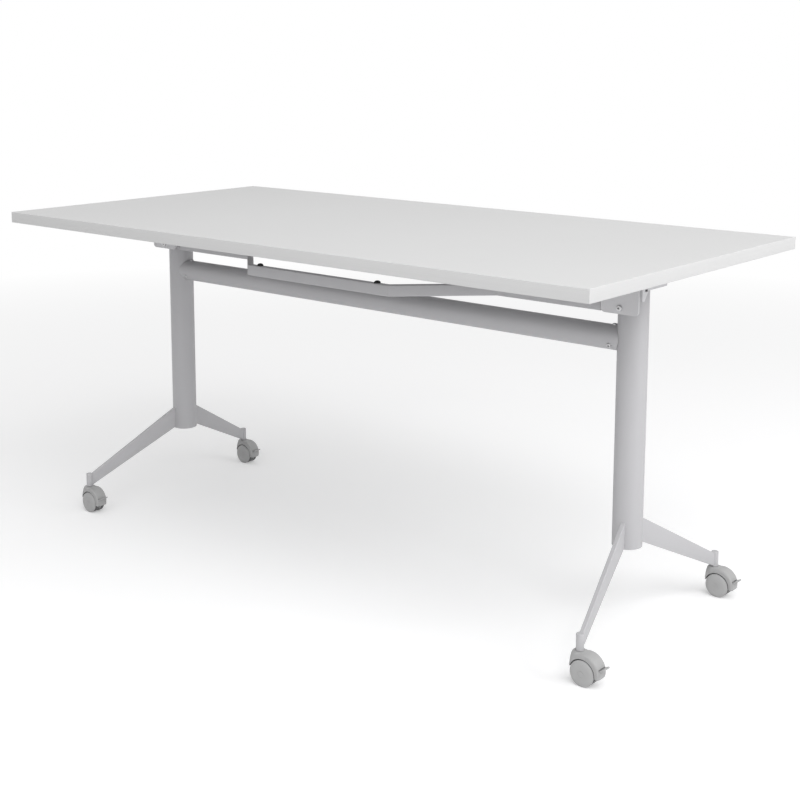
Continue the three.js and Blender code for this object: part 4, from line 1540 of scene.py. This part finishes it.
        turned = lathe(disc, Sides.SCREW).placed(self.wheel_centre, X_AXIS, Z_AXIS, Y_AXIS)
        return loft(rings + self.hood_centre) + turned

    def stem(self) -> Surface:
        """The swivel stem, turned about Z, from inside the boss up into the socket.

        Returns:
            The stem about its axis.
        """
        radius, low, high = self.stem_radius, self.seam - self.stem_root, self.stem_top
        profile = fillet([[0, low], [radius, low], [radius, high], [0, high]],
                         [0, 0, self.stem_tip, 0], Arc.SMALL, closed=False)
        return lathe(profile, Sides.PIN)

    def wheel(self) -> Surface:
        """One wheel: a face with a ring round the hub, a shoulder and a seat for the tread.

        The profile is turned about the axle. The face falls from its middle by
        wheel_fall (r / R)^6.

        Returns:
            The wheel about its centre, facing along its third axis.
        """
        radius, inner, face, hub = self.wheel_radius, self.wheel_inner, self.wheel_face, self.hub_ring
        groove = face - self.groove_depth
        ring = [[0, face], [hub - self.ring_slope, face], [hub, groove], [hub + self.groove_width, groove]]
        r = np.linspace(hub + self.groove_reach, radius - self.wheel_shoulder, self.face_rows)
        dome = np.column_stack([r, face - self.wheel_fall * (r / radius) ** self.crown_power])
        shoulder = face - self.wheel_fall
        ledge, seat = shoulder - self.tread_edge, radius - self.tread_depth
        back = fillet([[radius, shoulder], [radius, ledge], [seat, ledge], [seat, inner],
                       [self.wheel_bore, inner], [self.wheel_bore, self.bore_depth], [0, self.bore_depth]],
                      [0, 0, 0, self.wheel_edge, 0, 0, 0], Arc.USUAL, closed=False)
        return lathe(np.concatenate([ring, dome, back]), Sides.WHEEL)

    def tread(self) -> Surface:
        """A thin band round the wheel behind its shoulder, turned about the axle, coloured dark as painted
        shade in the gap under the hood.

        Returns:
            The band about the wheel's centre, facing along its third axis.
        """
        low, high = self.wheel_inner + self.tread_edge, self.wheel_face - self.wheel_fall - self.tread_edge
        inner, outer = self.wheel_radius - 2 * self.tread_depth, self.wheel_radius
        rounding = self.tread_depth / 2
        band = fillet([[inner, low], [outer, low], [outer, high], [inner, high]],
                      [0, rounding, rounding, 0], Arc.SMALL)
        return lathe(band, Sides.WHEEL, loop=True)

    def pedal(self) -> Surface:
        """The brake pedal: a plate that stands out of the hood's back, with a curved shoe under it.

        The shoe lies between two circles about the hood's centre. It ends at
        the angle shoe_foot below, and above where the outer circle meets the
        plate's underside.

        Returns:
            The pedal in the model's frame.
        """
        place, slope, foot = np.radians([self.pedal_place, self.pedal_slope, self.shoe_foot])
        u = np.array([math.cos(slope), math.sin(slope)])
        v = np.array([-math.sin(slope), math.cos(slope)])
        pivot = self.pedal_pivot * np.array([math.cos(place), math.sin(place)])
        half, root, reach = self.pedal_thick / 2, self.pedal_root, self.pedal_reach
        plate = np.array([[reach, -half], [reach, half], [0, root], [-root, half], [-root, -root]])
        inner, outer = self.shoe_radii
        under = pivot - half * v
        run = -under @ u + math.sqrt((under @ u) ** 2 - under @ under + outer**2)
        meet = under + run * u
        down = np.linspace(place - self.shoe_start * root / inner, foot, self.shoe_rows)
        up = np.linspace(foot, math.atan2(meet[1], meet[0]) - root / outer, self.shoe_rows)
        back = inner * np.column_stack([np.cos(down), np.sin(down)])
        skin = outer * np.column_stack([np.cos(up), np.sin(up)])
        corners = np.concatenate([pivot + plate @ np.array([u, v]), back, skin, [meet]])
        radii = np.zeros(len(corners))
        radii[:len(self.pedal_rounds)] = self.pedal_rounds
        radii[-1] = self.shoe_round
        outline = fillet(corners, radii, Arc.USUAL) + self.hood_centre[[0, 2]]
        shape = slab(outline, -self.pedal_half, self.pedal_half, self.pedal_rim)
        return shape.placed(self.origin, X_AXIS, Z_AXIS, -Y_AXIS)


# The studio


@dataclass(frozen=True)
class Lamp:
    """A square soft lamp that faces the table."""

    name: str
    place: tuple
    size: float
    power: float
    target: tuple = (0.0, 0.0, 0.4)

    def hang(self) -> None:
        """Adds the lamp to the scene."""
        data = bpy.data.lights.new(self.name, "AREA")
        data.size = self.size
        data.energy = self.power
        lamp = add_object(self.name, data)
        lamp.location = self.place
        lamp.visible_camera = False
        away = lamp.location - Vector(self.target)
        lamp.rotation_euler = away.to_track_quat("Z", "Y").to_euler()


@dataclass
class Studio:
    """The floor, the lamps, the world and the camera."""

    camera_place: tuple = (1.9319, -2.2495, 1.1407)
    camera_yaw: float = 40.428
    camera_pitch: float = 8.795
    lens: float = 60.52
    shift: tuple = (0.0236, -0.18)
    floor_half: float = 14.0
    floor_colour: tuple = (0.86, 0.86, 0.865)
    floor_lift: float = 0.28
    floor_fade: tuple = ((0.1, 0.0), (0.3, 1.0))
    world_light: float = 0.38
    lamps: tuple = (
        Lamp("key", (3.062, -1.768, 3.936), 3.0, 92.0),
        Lamp("front", (0.752, -4.264, 2.9), 3.0, 42.0),
        Lamp("side", (4.377, 1.173, 2.513), 3.0, 76.0),
        Lamp("overhead", (0.0, 0.0, 4.2), 3.5, 30.0),
    )

    def build(self) -> None:
        """Makes everything that isn't part of the table."""
        bpy.context.scene.view_settings.view_transform = "Standard"
        self.camera()
        self.floor()
        self.world()
        for lamp in self.lamps:
            lamp.hang()

    def camera(self) -> None:
        """The camera at the photograph's viewing angle."""
        data = bpy.data.cameras.new("camera")
        data.lens = self.lens
        data.shift_x, data.shift_y = self.shift
        camera = add_object("camera", data)
        camera.location = self.camera_place
        camera.rotation_euler = (math.radians(90 - self.camera_pitch), 0, math.radians(self.camera_yaw))
        bpy.context.scene.camera = camera

    def floor(self) -> None:
        """A pale floor that keeps the shadow and runs out into white."""
        mesh = bpy.data.meshes.new("floor")
        corners = np.column_stack([self.floor_half * QUARTERS, np.zeros(len(QUARTERS))])
        mesh.from_pydata(corners, [], [range(len(QUARTERS))])
        material, graph = new_material("floor_finish")
        matt = graph.node("ShaderNodeBsdfDiffuse", {}, {"Color": (*self.floor_colour, 1)})
        lifted = graph.node("ShaderNodeAddShader", {}, {0: matt, 1: graph.glow(self.floor_lift)})
        reach = graph.node("ShaderNodeVectorMath", {"operation": "LENGTH"}, {0: graph.place()}, "Value")
        share = reach * (1 / self.floor_half)
        ramp = graph.node("ShaderNodeValToRGB", {"stops": self.floor_fade}, {"Fac": share})
        shown = graph.mix(ramp, lifted, graph.glow(1.0))
        out = graph.mix(graph.in_view(), matt, shown)
        graph.node("ShaderNodeOutputMaterial", {}, {"Surface": out})
        mesh.materials.append(material)
        add_object("floor", mesh)

    def world(self) -> None:
        """A soft even world that the camera and reflections see as white."""
        world = bpy.data.worlds.new("studio")
        world.use_nodes = True
        bpy.context.scene.world = world
        graph = Graph(world.node_tree)
        strength = self.world_light + (1 - self.world_light) * graph.in_view()
        sky = graph.node("ShaderNodeBackground", {}, {"Color": WHITE, "Strength": strength})
        graph.node("ShaderNodeOutputWorld", {}, {"Surface": sky})


def main() -> None:
    """Builds the studio and every sub-assembly in order."""
    logging.basicConfig(level=logging.INFO, format="%(name)s: %(message)s")
    Studio().build()
    TiltTop().build()
    for end in End:
        TiltBracket(end).build()
        ColumnEnd(end).build()
    ReleaseBar().build()
    CrossBeam().build()
    for corner in Corner:
        Foot(corner).build()
        Caster(corner).build()


if __name__ == "__main__":
    main()
